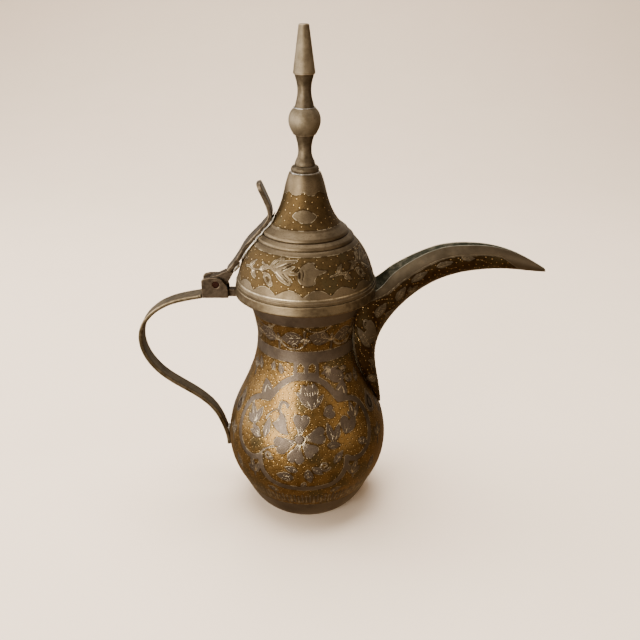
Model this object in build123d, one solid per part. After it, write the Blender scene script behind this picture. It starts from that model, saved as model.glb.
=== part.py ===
from build123d import *
import math
import os

# A small engraved dallah: a spun brass pot with a sickle spout, a strap handle and a hinged lid.
# Millimetres. The origin is the centre of the flat foot, +Z is up the pot's axis, +X points along
# the spout, and the hinge and handle are on the -X side. Everything is symmetric about Y = 0.

# ---- driving dimensions ----
TOTAL_HEIGHT = 200.0
SHEET = 0.9                     # wall of the spun shells
FOOT_RADIUS = 20.2
BELLY_SEAM_Z = 78.0             # the neck is let into the belly here
SEAM_LAP = 3.5                  # how far the neck's spigot goes down inside the belly
NECK_TOP_Z = 101.3
COLLAR_BOTTOM_Z = 98.5
COLLAR_TOP_Z = 102.5
COLLAR_RADIUS = 29.1
COLLAR_TOP_RADIUS = 28.5
MOUTH_RADIUS = 22.9
POUR_HOLE_RADIUS = 1.3
POUR_HOLE_PITCH = 4.4
POUR_HOLES_Z = 89.0

LID_GAP = 0.1                   # the closed lid stands this far above the collar
LID_BOTTOM_Z = COLLAR_TOP_Z + LID_GAP
LID_EDGE_RADIUS = 28.3
LID_TOP_Z = 147.0
LID_TOP_RADIUS = 6.1
BEZEL_RADIUS = 22.4             # the ring that centres the lid in the mouth
BEZEL_DEPTH = 4.0
ROD_RADIUS = 1.25               # the rod that holds the finial's pieces together

STRAP_WIDTH = 7.6               # at the hinge
STRAP_FOOT_WIDTH = 4.6          # at the belly
STRAP_THICKNESS = 1.7
LEVER_WIDTH = 10.8              # where it crosses the dome
TAB_RADIUS = 3.8
LEVER_THICKNESS = 1.9

PIN_X = -36.4
PIN_Z = 101.9
PIN_RADIUS = 1.4
PIN_CLEARANCE = 0.06
BLOCK_WIDTH = 7.6
CHEEK_GAP = 4.4
BAR_WIDTH = 4.0                 # the bar from the hinge block to the neck
KNUCKLE_WIDTH = 4.0
KNUCKLE_RADIUS = 3.3
BLOCK_BACK_X = -42.3
BLOCK_BOTTOM_Z = 96.1
SPOUT_WALL = 0.8

# Outlines are (radius, height) pairs, from the bottom up.
BELLY = [(FOOT_RADIUS, 0), (24.2, 4), (28.4, 12), (32.3, 20), (34.2, 28), (34.0, 36), (32.2, 44),
         (28.8, 52), (25.1, 60), (22.2, 68), (20.65, 76), (20.45, BELLY_SEAM_Z)]
NECK = [(20.45, BELLY_SEAM_Z), (20.45, 81), (21.0, 85.5), (22.3, 91.5), (24.0, COLLAR_BOTTOM_Z)]
DOME = [(28.0, 104), (26.9, 108), (25.5, 112), (23.5, 116), (19.9, 120.7)]
RINGS = [(19.2, 121.2), (19.3, 121.8), (18.9, 122.6), (17.4, 123.5), (16.9, 123.6), (17.1, 124.1),
         (16.7, 125.0), (14.9, 126.4)]
CONE = [(14.3, 126.8), (12.0, 130), (10.1, 134), (8.8, 138), (7.8, 142), (LID_TOP_RADIUS, LID_TOP_Z)]

# Side view of the two bent strips, as (x, z) along their middle.
HANDLE_LINE = [(BLOCK_BACK_X - 0.1, 96.75), (-47.7, 95.8), (-56.2, 93.5), (-63.5, 89.0), (-68.2, 82.5),
               (-69.2, 75.4), (-66.8, 67.6), (-61.1, 60.3), (-52.8, 54.1), (-45.2, 48.5),
               (-39.8, 42.2), (-36.8, 35.3), (-35.2, 29.2), (-34.9, 24.8)]
LEVER_LINE = [(-31.4, 107.2), (-29.2, 109.7), (-26.2, 113.9), (-23.6, 118.1), (-19.5, 122.6),
              (-15.9, 126.6), (-13.9, 129.6), (-13.9, 132.6), (-15.2, 136.4), (-16.7, 139.9),
              (-18.0, 143.2)]

# The lever's edge seen from behind, as (half-width, z), up to the middle of its round tab.
LEVER_EDGE = [(3.3, 104.0), (3.9, 109.5), (5.1, 114.5), (LEVER_WIDTH / 2, 118.5), (4.9, 123.5), (3.9, 129.5),
              (3.6, 135.0), (TAB_RADIUS, LEVER_LINE[-1][1] + 1.0 - TAB_RADIUS)]

# Sections of the spout: keel (x, z), rim (x, z), half-width at the rim, widest half-width.
SPOUT = [((32.3, 46.0), (29.4, 48.4), 1.4, 1.7),
         ((31.2, 55.0), (26.0, 57.0), 4.0, 4.4),
         ((29.9, 62.5), (22.5, 65.0), 6.0, 6.3),
         ((29.2, 69.5), (20.0, 73.0), 7.0, 7.3),
         ((30.2, 77.0), (19.0, 83.5), 7.6, 7.9),
         ((33.6, 84.5), (20.5, 95.0), 8.2, 8.3),
         ((38.8, 91.6), (28.8, 101.2), 7.7, 7.6),
         ((45.2, 97.6), (34.6, 106.7), 5.3, 6.2),
         ((52.6, 102.4), (43.4, 112.6), 3.5, 5.0),
         ((60.5, 105.4), (53.8, 117.0), 2.6, 4.3),
         ((69.0, 107.0), (64.5, 118.1), 2.4, 3.9),
         ((78.0, 107.5), (74.8, 117.3), 1.6, 3.2),
         ((86.0, 107.1), (83.8, 114.6), 1.1, 2.3),
         ((92.6, 106.4), (91.2, 110.9), 0.9, 1.4),
         ((97.1, 106.2), (96.7, 107.6), 0.75, 0.8)]


# ---- shared shapes ----
def turned(*curves):
    """A solid of revolution about the pot's axis, from a closed outline of (radius, height)."""
    return revolve(Plane.XZ * make_face(Curve() + list(curves)), Axis.Z)


def turned_polygon(*points):
    return turned(Polyline(*points, close=True))


def inset(points, wall):
    """The same outline, one wall thickness nearer the axis."""
    moved = []
    for i, (radius, height) in enumerate(points):
        before = points[max(i - 1, 0)]
        after = points[min(i + 1, len(points) - 1)]
        along = (after[0] - before[0], after[1] - before[1])
        length = math.hypot(*along)
        moved.append((radius - wall * along[1] / length, height + wall * along[0] / length))
    return moved


def spun_shell(points, wall=SHEET):
    """A spun shell: one smooth outline, one wall, and square edges."""
    inner = inset(points, wall)
    return turned(Spline(*points), Line(points[-1], inner[-1]), Spline(*inner[::-1]),
                  Line(inner[0], points[0]))


def turned_core(points):
    """What a smooth outline encloses, solid to the axis."""
    bottom = points[0]
    top = points[-1]
    return turned(Spline(*points), Polyline(top, (0, top[1]), (0, bottom[1]), bottom))


def bent_strip(line, width, thickness):
    """A flat strip bent along a smooth line in the XZ plane."""
    path = Spline(*[(x, 0, z) for x, z in line])
    start = Plane(origin=path @ 0, x_dir=(0, 1, 0), z_dir=path % 0)
    return sweep(start * Rectangle(width, thickness), path)


def side_plate(points, width):
    """A plate cut to an (x, z) outline, centred on Y = 0."""
    return extrude(Plane.XZ * make_face(Polyline(*points, close=True)), width / 2, both=True)


def cross_rod(x, z, radius, length):
    return Pos(x, 0, z) * Rot(90, 0, 0) * Cylinder(radius, length)


# ---- the pot's own envelope, which the spout and the hinge are fitted against ----
collar_outline = [(COLLAR_RADIUS, COLLAR_BOTTOM_Z), (COLLAR_TOP_RADIUS, COLLAR_TOP_Z)]
pot_core = turned_core(BELLY) + turned_core(NECK)
pot_core += turned_polygon((0, COLLAR_BOTTOM_Z), *collar_outline, (0, COLLAR_TOP_Z))


# ---- belly, base plate and neck ----
def belly_shell():
    return spun_shell(BELLY)


def base_plate():
    """Closes the foot. The pot stands on its flat underside."""
    return Pos(0, 0, SHEET / 2) * Cylinder(FOOT_RADIUS - 0.7, SHEET)


def neck_shell():
    neck_inner = inset(NECK, SHEET)
    bore_top = NECK[-1][0] - SHEET
    spigot_outer = inset(BELLY, SHEET)[-1][0] - 0.02
    spigot_bottom = BELLY_SEAM_Z - SEAM_LAP
    neck = turned(Spline(*NECK),
                  Polyline(NECK[-1], (NECK[-1][0], NECK_TOP_Z), (bore_top, NECK_TOP_Z), neck_inner[-1]),
                  Spline(*neck_inner[::-1]),
                  Line(neck_inner[0], NECK[0]))
    neck += turned_polygon((spigot_outer - SHEET, spigot_bottom), (spigot_outer, spigot_bottom),
                           (spigot_outer, BELLY_SEAM_Z + 0.3), (spigot_outer - SHEET, BELLY_SEAM_Z + 0.3))
    return neck - pour_holes()


def pour_holes():
    """Seven holes through the neck behind the spout, which strain the coffee grounds."""
    around = [(POUR_HOLE_PITCH * math.cos(math.radians(60 * k)),
               POUR_HOLE_PITCH * math.sin(math.radians(60 * k))) for k in range(6)]
    holes = Part()
    for across, up in [(0, 0)] + around:
        drill = Rot(0, 90, 0) * Cylinder(POUR_HOLE_RADIUS, 2 * SHEET + 6)
        holes += Pos(NECK[2][0], across, POUR_HOLES_Z + up) * drill
    return holes


def mouth_collar():
    """The heavy rolled ring around the mouth. The lid rests on its top face."""
    neck_side = NECK[-1][0] + 0.02
    return turned_polygon((neck_side, COLLAR_BOTTOM_Z), *collar_outline, (MOUTH_RADIUS, COLLAR_TOP_Z),
                          (MOUTH_RADIUS, NECK_TOP_Z + 0.02), (neck_side, NECK_TOP_Z + 0.02))


# ---- spout ----
def trough_section(keel, rim, half_rim, half_widest):
    """One open section of the sickle spout, in the plane through its keel and its rims."""
    origin = Vector(keel[0], 0, keel[1])
    up = Vector(rim[0] - keel[0], 0, rim[1] - keel[1])
    depth = up.length
    wall = min(SPOUT_WALL, 0.6 * half_rim)
    outer = [(half_rim, depth), (half_widest, 0.62 * depth), (0.74 * half_widest, 0.22 * depth), (0, 0)]
    outer += [(-a, b) for a, b in outer[-2::-1]]
    half_inner = [(half_rim - wall, depth), (half_widest - wall, 0.62 * depth),
                  (0.74 * half_widest - 0.8 * wall, 0.22 * depth + 0.5 * wall), (0, wall)]
    inner = half_inner + [(-a, b) for a, b in half_inner[-2::-1]]
    outline = [Spline(*outer), Line(outer[-1], inner[-1]), Spline(*inner[::-1]), Line(inner[0], outer[0])]
    plane = Plane(origin=origin, x_dir=(0, 1, 0), z_dir=Vector(0, 1, 0).cross(up.normalized()))
    return plane * make_face(Curve() + outline)


def spout_trough():
    blank = loft([trough_section(*row) for row in SPOUT])
    return largest(blank - pot_core)


def largest(shape):
    return sorted(shape.solids(), key=lambda solid: solid.volume)[-1]


# ---- handle and hinge ----
def strap_blank():
    """The strap narrows evenly from the bend down to its foot."""
    top_z = HANDLE_LINE[4][1]
    foot_z = HANDLE_LINE[-1][1] - 2
    outline = Polyline((-STRAP_WIDTH / 2, COLLAR_TOP_Z), (STRAP_WIDTH / 2, COLLAR_TOP_Z),
                       (STRAP_WIDTH / 2, top_z), (STRAP_FOOT_WIDTH / 2, foot_z),
                       (-STRAP_FOOT_WIDTH / 2, foot_z), (-STRAP_WIDTH / 2, top_z), close=True)
    taper = extrude(Plane.YZ * make_face(outline), 100, both=True)
    return bent_strip(HANDLE_LINE, STRAP_WIDTH, STRAP_THICKNESS) & taper


def handle_strap():
    return largest(strap_blank() - pot_core)


def handle_solder():
    """The filled joint between the strap's lower end and the belly."""
    low = HANDLE_LINE[-1][1] + 0.5
    high = HANDLE_LINE[-3][1] - 2.0
    joint = Pos(-34.4, 0, (low + high) / 2) * Box(1.8, STRAP_FOOT_WIDTH - 0.6, high - low)
    return largest(joint - pot_core - strap_blank())


def hinge_bracket():
    """Two cheeks on a web, with a narrower bar that runs in under the collar."""
    web_top = 97.6
    bar_top = 99.2
    cheek_front_x = -31.5
    outline = [(BLOCK_BACK_X, BLOCK_BOTTOM_Z), (BLOCK_BACK_X, 103.4), (-41.4, 104.4), (-39.2, 104.9),
               (-36.0, 104.9), (-34.1, 104.1), (-32.9, 102.7), (-32.0, 100.9), (cheek_front_x, bar_top),
               (cheek_front_x, BLOCK_BOTTOM_Z)]
    bar = side_plate([(cheek_front_x - 1, BLOCK_BOTTOM_Z), (cheek_front_x - 1, web_top),
                      (cheek_front_x, bar_top), (-28.0, bar_top), (-28.0, COLLAR_BOTTOM_Z),
                      (-23.0, COLLAR_BOTTOM_Z), (-23.0, BLOCK_BOTTOM_Z)], BAR_WIDTH)
    block = side_plate(outline, BLOCK_WIDTH) + bar
    slot = Pos(cheek_front_x - 5.6, 0, web_top + 5) * Box(11.2, CHEEK_GAP, 10)
    bore = cross_rod(PIN_X, PIN_Z, PIN_RADIUS + 0.02, BLOCK_WIDTH + 1)
    return largest(block - slot - bore - pot_core)


def hinge_pin():
    """Fixed in the cheeks, a little short of their faces."""
    return cross_rod(PIN_X, PIN_Z, PIN_RADIUS, BLOCK_WIDTH - 0.5)


# ---- lid ----
def lid_shell():
    """Dome, two turned rings and cone in one spun piece."""
    dome_inner = inset(DOME, SHEET)
    cone_inner = inset(CONE, SHEET)
    flange_inner = 26.4
    outer = [Polyline((flange_inner, LID_BOTTOM_Z), (LID_EDGE_RADIUS, LID_BOTTOM_Z),
                      (LID_EDGE_RADIUS, 103.8), DOME[0]),
             Spline(*DOME),
             Polyline(DOME[-1], *RINGS, CONE[0]),
             Spline(*CONE)]
    top_inner = LID_TOP_Z - SHEET
    bore = ROD_RADIUS + 0.02
    inner = [Polyline(CONE[-1], (bore, LID_TOP_Z), (bore, top_inner), (cone_inner[-1][0], top_inner),
                      cone_inner[-2]),
             Spline(*cone_inner[-2::-1]),
             Line(cone_inner[0], dome_inner[-1]),
             Spline(*dome_inner[::-1]),
             Line(dome_inner[0], (flange_inner, LID_BOTTOM_Z))]
    return turned(*outer, *inner)


def lid_bezel():
    """The ring soldered inside the lid, which drops into the mouth."""
    bottom = LID_BOTTOM_Z - BEZEL_DEPTH
    flange_top = LID_BOTTOM_Z + SHEET
    return turned_polygon((BEZEL_RADIUS - SHEET, bottom), (BEZEL_RADIUS, bottom),
                          (BEZEL_RADIUS, LID_BOTTOM_Z), (26.38, LID_BOTTOM_Z), (26.38, flange_top),
                          (BEZEL_RADIUS - SHEET, flange_top))


def bored(solid):
    """Clears the rod's hole up the middle of a finial piece."""
    return solid - Pos(0, 0, 150) * Cylinder(ROD_RADIUS + 0.02, 2 * TOTAL_HEIGHT)


FOOT_RING_TOP_Z = 149.7
SPINDLE_TOP_Z = 161.2
BALL_TOP_Z = 171.0
UPPER_TOP_Z = 183.0
TIP_BORE_DEPTH = 9.0


def finial_foot_ring():
    mid = (LID_TOP_Z + FOOT_RING_TOP_Z) / 2
    outline = [(4.6, LID_TOP_Z), (5.3, LID_TOP_Z + 0.5), (5.45, mid), (5.0, FOOT_RING_TOP_Z - 0.4),
               (4.1, FOOT_RING_TOP_Z)]
    return bored(turned_core(outline))


def finial_lower_spindle():
    outline = [(3.9, FOOT_RING_TOP_Z), (3.85, 150.8), (3.1, 152.6), (2.6, 155.4), (2.9, 158.3),
               (3.75, SPINDLE_TOP_Z)]
    return bored(turned_core(outline))


def finial_ball():
    outline = [(4.15, SPINDLE_TOP_Z), (5.3, 163.2), (6.1, 166.3), (5.5, 169.2), (4.05, BALL_TOP_Z)]
    return bored(turned_core(outline))


def finial_upper_spindle():
    outline = [(3.8, BALL_TOP_Z), (3.1, 173.6), (2.6, 177.2), (2.9, 180.0), (3.75, UPPER_TOP_Z)]
    return bored(turned_core(outline))


def finial_tip():
    tip = turned_polygon((0, UPPER_TOP_Z), (4.05, UPPER_TOP_Z), (4.1, 183.7), (1.95, TOTAL_HEIGHT - 0.25),
                         (1.6, TOTAL_HEIGHT), (0, TOTAL_HEIGHT))
    bore_bottom = UPPER_TOP_Z
    return tip - Pos(0, 0, bore_bottom + TIP_BORE_DEPTH / 2) * Cylinder(ROD_RADIUS + 0.02, TIP_BORE_DEPTH)


WASHER_TOP_Z = LID_TOP_Z - SHEET - 0.02


def finial_washer():
    washer = Pos(0, 0, WASHER_TOP_Z - 0.5) * Cylinder(3.6, 1.0)
    return bored(washer)


def finial_rod():
    """Runs from inside the tip down through the lid, and is riveted over the washer."""
    rod_top = UPPER_TOP_Z + TIP_BORE_DEPTH - 0.5
    rivet_top = WASHER_TOP_Z - 1.02
    rod = Pos(0, 0, (rod_top + rivet_top) / 2) * Cylinder(ROD_RADIUS, rod_top - rivet_top)
    rivet = Pos(0, 0, rivet_top - 0.5) * Cylinder(2.2, 1.0)
    return rod + rivet


# ---- lever and knuckle, which turn with the lid ----
over_rings = [(20.0, 121.5), (17.2, 125.0), (15.3, 126.5)]
lid_core = turned(Polyline((0, DOME[0][1]), DOME[0]), Spline(*DOME),
                  Polyline(DOME[-1], *over_rings, CONE[0]), Spline(*CONE),
                  Polyline(CONE[-1], (0, LID_TOP_Z), (0, DOME[0][1])))


def lever_blank():
    return bent_strip(LEVER_LINE, LEVER_WIDTH, LEVER_THICKNESS)


def thumb_lever():
    """A strap from the knuckle up over the dome, ending in a rounded thumb tab."""
    near = LEVER_EDGE
    far = [(-half, z) for half, z in reversed(LEVER_EDGE)]
    sides = [Spline(*near), Line(near[-1], far[0]), Spline(*far), Line(far[-1], near[0])]
    outline = make_face(Curve() + sides) + Pos(0, near[-1][1]) * Circle(TAB_RADIUS)
    tab_shape = extrude(Plane.YZ * outline, 60, both=True)
    return largest((lever_blank() & tab_shape) - lid_core)


def lever_solder():
    """The seam of solder that fills the wedge between the flat strap and the round lid."""
    seam = bent_strip([(x + 1.2, z - 1.2) for x, z in LEVER_LINE[3:7]], 2 * TAB_RADIUS - 0.4, 1.8)
    return largest(seam - lid_core - lever_blank())


def hinge_knuckle():
    """A barrel between the cheeks, with a web that carries the lever."""
    web = side_plate([(-33.9, 99.9), (-31.7, 101.9), (-28.2, 108.2), (-27.3, 110.5), (-30.2, 107.0),
                      (-32.6, 107.0), (-38.0, 104.4)], KNUCKLE_WIDTH)
    barrel = cross_rod(PIN_X, PIN_Z, KNUCKLE_RADIUS, KNUCKLE_WIDTH)
    bore = cross_rod(PIN_X, PIN_Z, PIN_RADIUS + PIN_CLEARANCE, BLOCK_WIDTH)
    return largest(barrel + web - bore - lever_blank())


NODES = {
    "belly_shell": belly_shell,
    "base_plate": base_plate,
    "neck_shell": neck_shell,
    "mouth_collar": mouth_collar,
    "spout_trough": spout_trough,
    "handle_strap": handle_strap,
    "handle_solder": handle_solder,
    "hinge_bracket": hinge_bracket,
    "hinge_pin": hinge_pin,
    "lid_shell": lid_shell,
    "lid_bezel": lid_bezel,
    "finial_foot_ring": finial_foot_ring,
    "finial_lower_spindle": finial_lower_spindle,
    "finial_ball": finial_ball,
    "finial_upper_spindle": finial_upper_spindle,
    "finial_tip": finial_tip,
    "finial_washer": finial_washer,
    "finial_rod": finial_rod,
    "thumb_lever": thumb_lever,
    "lever_solder": lever_solder,
    "hinge_knuckle": hinge_knuckle,
}

os.makedirs("parts", exist_ok=True)
for node, make in NODES.items():
    export_step(make(), f"parts/{node}.step")
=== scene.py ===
import math

import bmesh
import bpy
import numpy as np
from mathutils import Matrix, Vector, kdtree, noise


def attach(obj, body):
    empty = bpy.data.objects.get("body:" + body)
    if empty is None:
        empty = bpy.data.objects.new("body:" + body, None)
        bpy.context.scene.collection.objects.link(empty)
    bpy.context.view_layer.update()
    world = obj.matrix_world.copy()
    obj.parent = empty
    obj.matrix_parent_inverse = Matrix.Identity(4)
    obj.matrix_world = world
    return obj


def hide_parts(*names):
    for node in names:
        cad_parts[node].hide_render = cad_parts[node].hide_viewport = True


# The looks of an engraved dallah. Outlines below are millimetres, as in the CAD part: (radius, height)
# for turned pieces and (x, height) for bent strips. Angles are degrees around the pot, 0 at its front
# (-Y) and 90 at the spout (+X).

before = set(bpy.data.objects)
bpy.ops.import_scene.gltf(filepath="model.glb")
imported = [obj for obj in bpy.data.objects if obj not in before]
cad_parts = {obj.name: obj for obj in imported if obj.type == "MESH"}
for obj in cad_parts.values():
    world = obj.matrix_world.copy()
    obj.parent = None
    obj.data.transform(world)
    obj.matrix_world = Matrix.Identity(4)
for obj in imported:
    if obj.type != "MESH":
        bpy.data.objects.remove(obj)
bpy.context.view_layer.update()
MM = 0.001

BELLY = [(20.2, 0), (24.2, 4), (28.4, 12), (32.3, 20), (34.2, 28), (34.0, 36), (32.2, 44), (28.8, 52),
         (25.1, 60), (22.2, 68), (20.65, 76), (20.45, 78)]
NECK = [(20.45, 78), (20.45, 81), (21.0, 85.5), (22.3, 91.5), (24.0, 98.5)]
DOME = [(28.0, 104), (26.9, 108), (25.5, 112), (23.5, 116), (19.9, 120.7)]
RINGS = [(19.2, 121.2), (19.3, 121.8), (18.9, 122.6), (17.4, 123.5), (16.9, 123.6), (17.1, 124.1),
         (16.7, 125.0), (14.9, 126.4)]
CONE = [(14.3, 126.8), (12.0, 130), (10.1, 134), (8.8, 138), (7.8, 142), (6.1, 147)]
HANDLE_LINE = [(-42.4, 96.75), (-47.7, 95.8), (-56.2, 93.5), (-63.5, 89.0), (-68.2, 82.5), (-69.2, 75.4),
               (-66.8, 67.6), (-61.1, 60.3), (-52.8, 54.1), (-45.2, 48.5), (-39.8, 42.2), (-36.8, 35.3),
               (-35.2, 29.2), (-34.9, 24.8)]
LEVER_LINE = [(-31.4, 107.2), (-29.2, 109.7), (-26.2, 113.9), (-23.6, 118.1), (-19.5, 122.6),
              (-15.9, 126.6), (-13.9, 129.6), (-13.9, 132.6), (-15.2, 136.4), (-16.7, 139.9),
              (-18.0, 143.2)]
# The lever's edge seen from behind, as (half-width, z), up to the middle of its round tab.
LEVER_EDGE = [(3.3, 104.0), (3.9, 109.5), (5.1, 114.5), (5.4, 118.5), (4.9, 123.5), (3.9, 129.5), (3.6, 135.0),
              (3.8, 140.4)]
# Spout sections: keel x, z, rim x, z, half-width at the rim, widest half-width.
SPOUT = [(32.3, 46.0, 29.4, 48.4, 1.4, 1.7), (31.2, 55.0, 26.0, 57.0, 4.0, 4.4),
         (29.9, 62.5, 22.5, 65.0, 6.0, 6.3), (29.2, 69.5, 20.0, 73.0, 7.0, 7.3),
         (30.2, 77.0, 19.0, 83.5, 7.6, 7.9), (33.6, 84.5, 20.5, 95.0, 8.2, 8.3),
         (38.8, 91.6, 28.8, 101.2, 7.7, 7.6), (45.2, 97.6, 34.6, 106.7, 5.3, 6.2),
         (52.6, 102.4, 43.4, 112.6, 3.5, 5.0), (60.5, 105.4, 53.8, 117.0, 2.6, 4.3),
         (69.0, 107.0, 64.5, 118.1, 2.4, 3.9), (78.0, 107.5, 74.8, 117.3, 1.6, 3.2),
         (86.0, 107.1, 83.8, 114.6, 1.1, 2.3), (92.6, 106.4, 91.2, 110.9, 0.9, 1.4),
         (97.1, 106.2, 96.7, 107.6, 0.75, 0.8)]
SHEET = 0.9
COLLAR_Z = (98.5, 102.5)
COLLAR_R = (29.1, 28.5)
SHARP = math.radians(50)
rng = np.random.default_rng(7)


# ---------------------------------------------------------------- curves
def spline(points, count, even=True):
    """A cubic spline through the points, sampled evenly along its length."""
    p = np.array(points, float)
    t = np.concatenate(([0], np.cumsum(np.linalg.norm(np.diff(p, axis=0), axis=1))))
    return spline_at(t, p, t[-1] * np.linspace(0, 1, count)) if not even else resample(
        spline_at(t, p, t[-1] * np.linspace(0, 1, 30 * len(p))), count)


def spline_at(t, p, where):
    n = len(p)
    h = np.diff(t)
    a = np.zeros((n, n))
    b = np.zeros_like(p)
    for i in range(1, n - 1):
        a[i, i - 1:i + 2] = h[i - 1], 2 * (h[i - 1] + h[i]), h[i]
        b[i] = 6 * ((p[i + 1] - p[i]) / h[i] - (p[i] - p[i - 1]) / h[i - 1])
    a[0, :2] = 2 * h[0], h[0]
    b[0] = 6 * ((p[1] - p[0]) / h[0] - end_slope(t[:4], p[:4]))
    a[-1, -2:] = h[-1], 2 * h[-1]
    b[-1] = 6 * (end_slope(t[:-5:-1], p[:-5:-1]) - (p[-1] - p[-2]) / h[-1])
    m = np.linalg.solve(a, b)
    k = np.clip(np.searchsorted(t, where, side="right") - 1, 0, n - 2)
    left = (where - t[k])[:, None]
    right = (t[k + 1] - where)[:, None]
    hk = h[k][:, None]
    return ((m[k] * right ** 3 + m[k + 1] * left ** 3) / (6 * hk)
            + (p[k] / hk - m[k] * hk / 6) * right + (p[k + 1] / hk - m[k + 1] * hk / 6) * left)


def end_slope(t, p):
    """Slope at the first of a few points, from the one polynomial through them all."""
    n = len(t)
    powers = np.linalg.solve((t[:, None] - t[0]) ** np.arange(n), p)
    return powers[1]


def lengths(p):
    return np.concatenate(([0], np.cumsum(np.linalg.norm(np.diff(p, axis=0), axis=1))))


def resample(p, count):
    s = lengths(p)
    where = np.linspace(0, s[-1], count)
    return np.stack([np.interp(where, s, p[:, k]) for k in range(p.shape[1])], 1)


def filleted(points, radius, closed=True, steps=4):
    """A polygon's corners rounded off; radius is one number or one per corner."""
    p = np.array(points, float)
    n = len(p)
    out = []
    for i in range(n):
        rad = radius[i] if isinstance(radius, (list, tuple)) else radius
        if (not closed and i in (0, n - 1)) or rad <= 0:
            out.append(p[i])
            continue
        u = p[i - 1] - p[i]
        v = p[(i + 1) % n] - p[i]
        lu, lv = np.linalg.norm(u), np.linalg.norm(v)
        reach = min(rad, 0.45 * lu, 0.45 * lv)
        start, end = p[i] + u / lu * reach, p[i] + v / lv * reach
        for t in np.linspace(0, 1, steps + 1):
            out.append((1 - t) ** 2 * start + 2 * t * (1 - t) * p[i] + t ** 2 * end)
    return np.array(out)


def refined(points, gap, closed=True):
    """Extra points along long edges, none further apart than gap."""
    p = np.array(points, float)
    ends = np.roll(p, -1, 0) if closed else p[1:]
    out = []
    for a, b in zip(p if closed else p[:-1], ends):
        n = max(1, math.ceil(np.linalg.norm(b - a) / gap))
        out.extend(a + (b - a) * k / n for k in range(n))
    if not closed:
        out.append(p[-1])
    return np.array(out)


def inset(p, wall):
    d = np.gradient(p, axis=0)
    d /= np.linalg.norm(d, axis=1)[:, None]
    return np.stack([p[:, 0] - wall * d[:, 1], p[:, 1] + wall * d[:, 0]], 1)


belly_line = spline(BELLY, 400)
neck_line = spline(NECK, 120)
pot_line = np.concatenate([belly_line, neck_line[1:]])


def pot_radius(z):
    r = np.interp(z, pot_line[:, 1], pot_line[:, 0])
    collar = np.interp(z, COLLAR_Z, COLLAR_R)
    return np.where((z > COLLAR_Z[0]) & (z < COLLAR_Z[1]), collar, np.where(z >= COLLAR_Z[1], 0, r))


lid_line = np.concatenate([spline(DOME, 80), np.array(RINGS), spline(CONE, 80)])


def lid_radius(z):
    return np.where((z > 102.6) & (z < 147), np.interp(z, lid_line[:, 1], lid_line[:, 0]), 0)


# ---------------------------------------------------------------- meshes
def smooth(x, low, high):
    t = np.clip((x - low) / (high - low), 0, 1)
    return t * t * (3 - 2 * t)


def lumps(p, scale, seed=0, detail=3):
    """Smooth noise at points in mm, about -1 to 1; scale is the lump size."""
    q = np.asarray(p, float) / scale + seed * 17.3
    return np.array([noise.fractal(v, 1.0, 2.0, detail) for v in q.tolist()])


def mesh_object(name, verts, faces, fields=None):
    mesh = bpy.data.meshes.new(name)
    mesh.from_pydata((np.asarray(verts) * MM).tolist(), [], faces)
    mesh.validate()
    mesh.polygons.foreach_set("use_smooth", [True] * len(mesh.polygons))
    for key, values in (fields or {}).items():
        values = np.asarray(values, np.float32)
        kind = "FLOAT" if values.ndim == 1 else "FLOAT_VECTOR"
        attribute = mesh.attributes.new(key, kind, "POINT")
        attribute.data.foreach_set("value" if values.ndim == 1 else "vector", values.ravel())
    obj = bpy.data.objects.new(name, mesh)
    bpy.context.scene.collection.objects.link(obj)
    return obj


def grid_faces(rows, cols, close_rows, close_cols):
    i = np.arange(rows if close_rows else rows - 1)
    j = np.arange(cols if close_cols else cols - 1)
    i, j = np.meshgrid(i, j, indexing="ij")
    i2, j2 = (i + 1) % rows, (j + 1) % cols
    quads = np.stack([i * cols + j, i * cols + j2, i2 * cols + j2, i2 * cols + j], -1)
    return quads.reshape(-1, 4).tolist()


def around(cols):
    """Column angles in degrees; the seam is at the handle side."""
    return -90 + 360 * np.arange(cols) / cols


def revolve_points(profile, cols):
    a = np.radians(around(cols))
    r, z = profile[:, 0][:, None], profile[:, 1][:, None]
    return np.stack([r * np.sin(a), -r * np.cos(a), z + 0 * a], -1)


def lathe_normals(profile):
    d = np.roll(profile, -1, 0) - np.roll(profile, 1, 0)
    d /= np.linalg.norm(d, axis=1)[:, None] + 1e-9
    return np.stack([d[:, 1], -d[:, 0]], 1)


def pushed(points, profile, cols, depth):
    """Moves lathe points along the surface's normal by depth (rows, cols)."""
    n = lathe_normals(profile)
    a = np.radians(around(cols))
    nr, nz = n[:, 0][:, None], n[:, 1][:, None]
    return points + depth[..., None] * np.stack([nr * np.sin(a), -nr * np.cos(a), nz + 0 * a], -1)


def turned_piece(name, outline, cols, body, node, material, gap=0.5, wear=0.04, seed=1,
                 tool_marks=0.012):
    """A closed outline spun round the axis, with small dents and tool marks, never outside it."""
    profile = refined(outline, gap)
    points = revolve_points(profile, cols)
    dents = lumps(points.reshape(-1, 3), 3.5, seed).reshape(points.shape[:2])
    rings = tool_marks * np.array([noise.noise(Vector((h * 5.1, r * 5.3, seed))) for r, h in profile])
    depth = -wear * (0.5 + 0.5 * dents) - np.abs(rings)[:, None]
    points = pushed(points, profile, cols, depth)
    obj = mesh_object(name, points.reshape(-1, 3), grid_faces(len(profile), cols, True, True))
    square_up(obj)
    edge_field(obj)
    return settle(obj, body, node, material)


def settle(obj, body, nodes, material):
    obj.data.materials.append(material)
    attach(obj, body)
    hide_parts(*([nodes] if isinstance(nodes, str) else nodes))
    return obj


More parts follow.
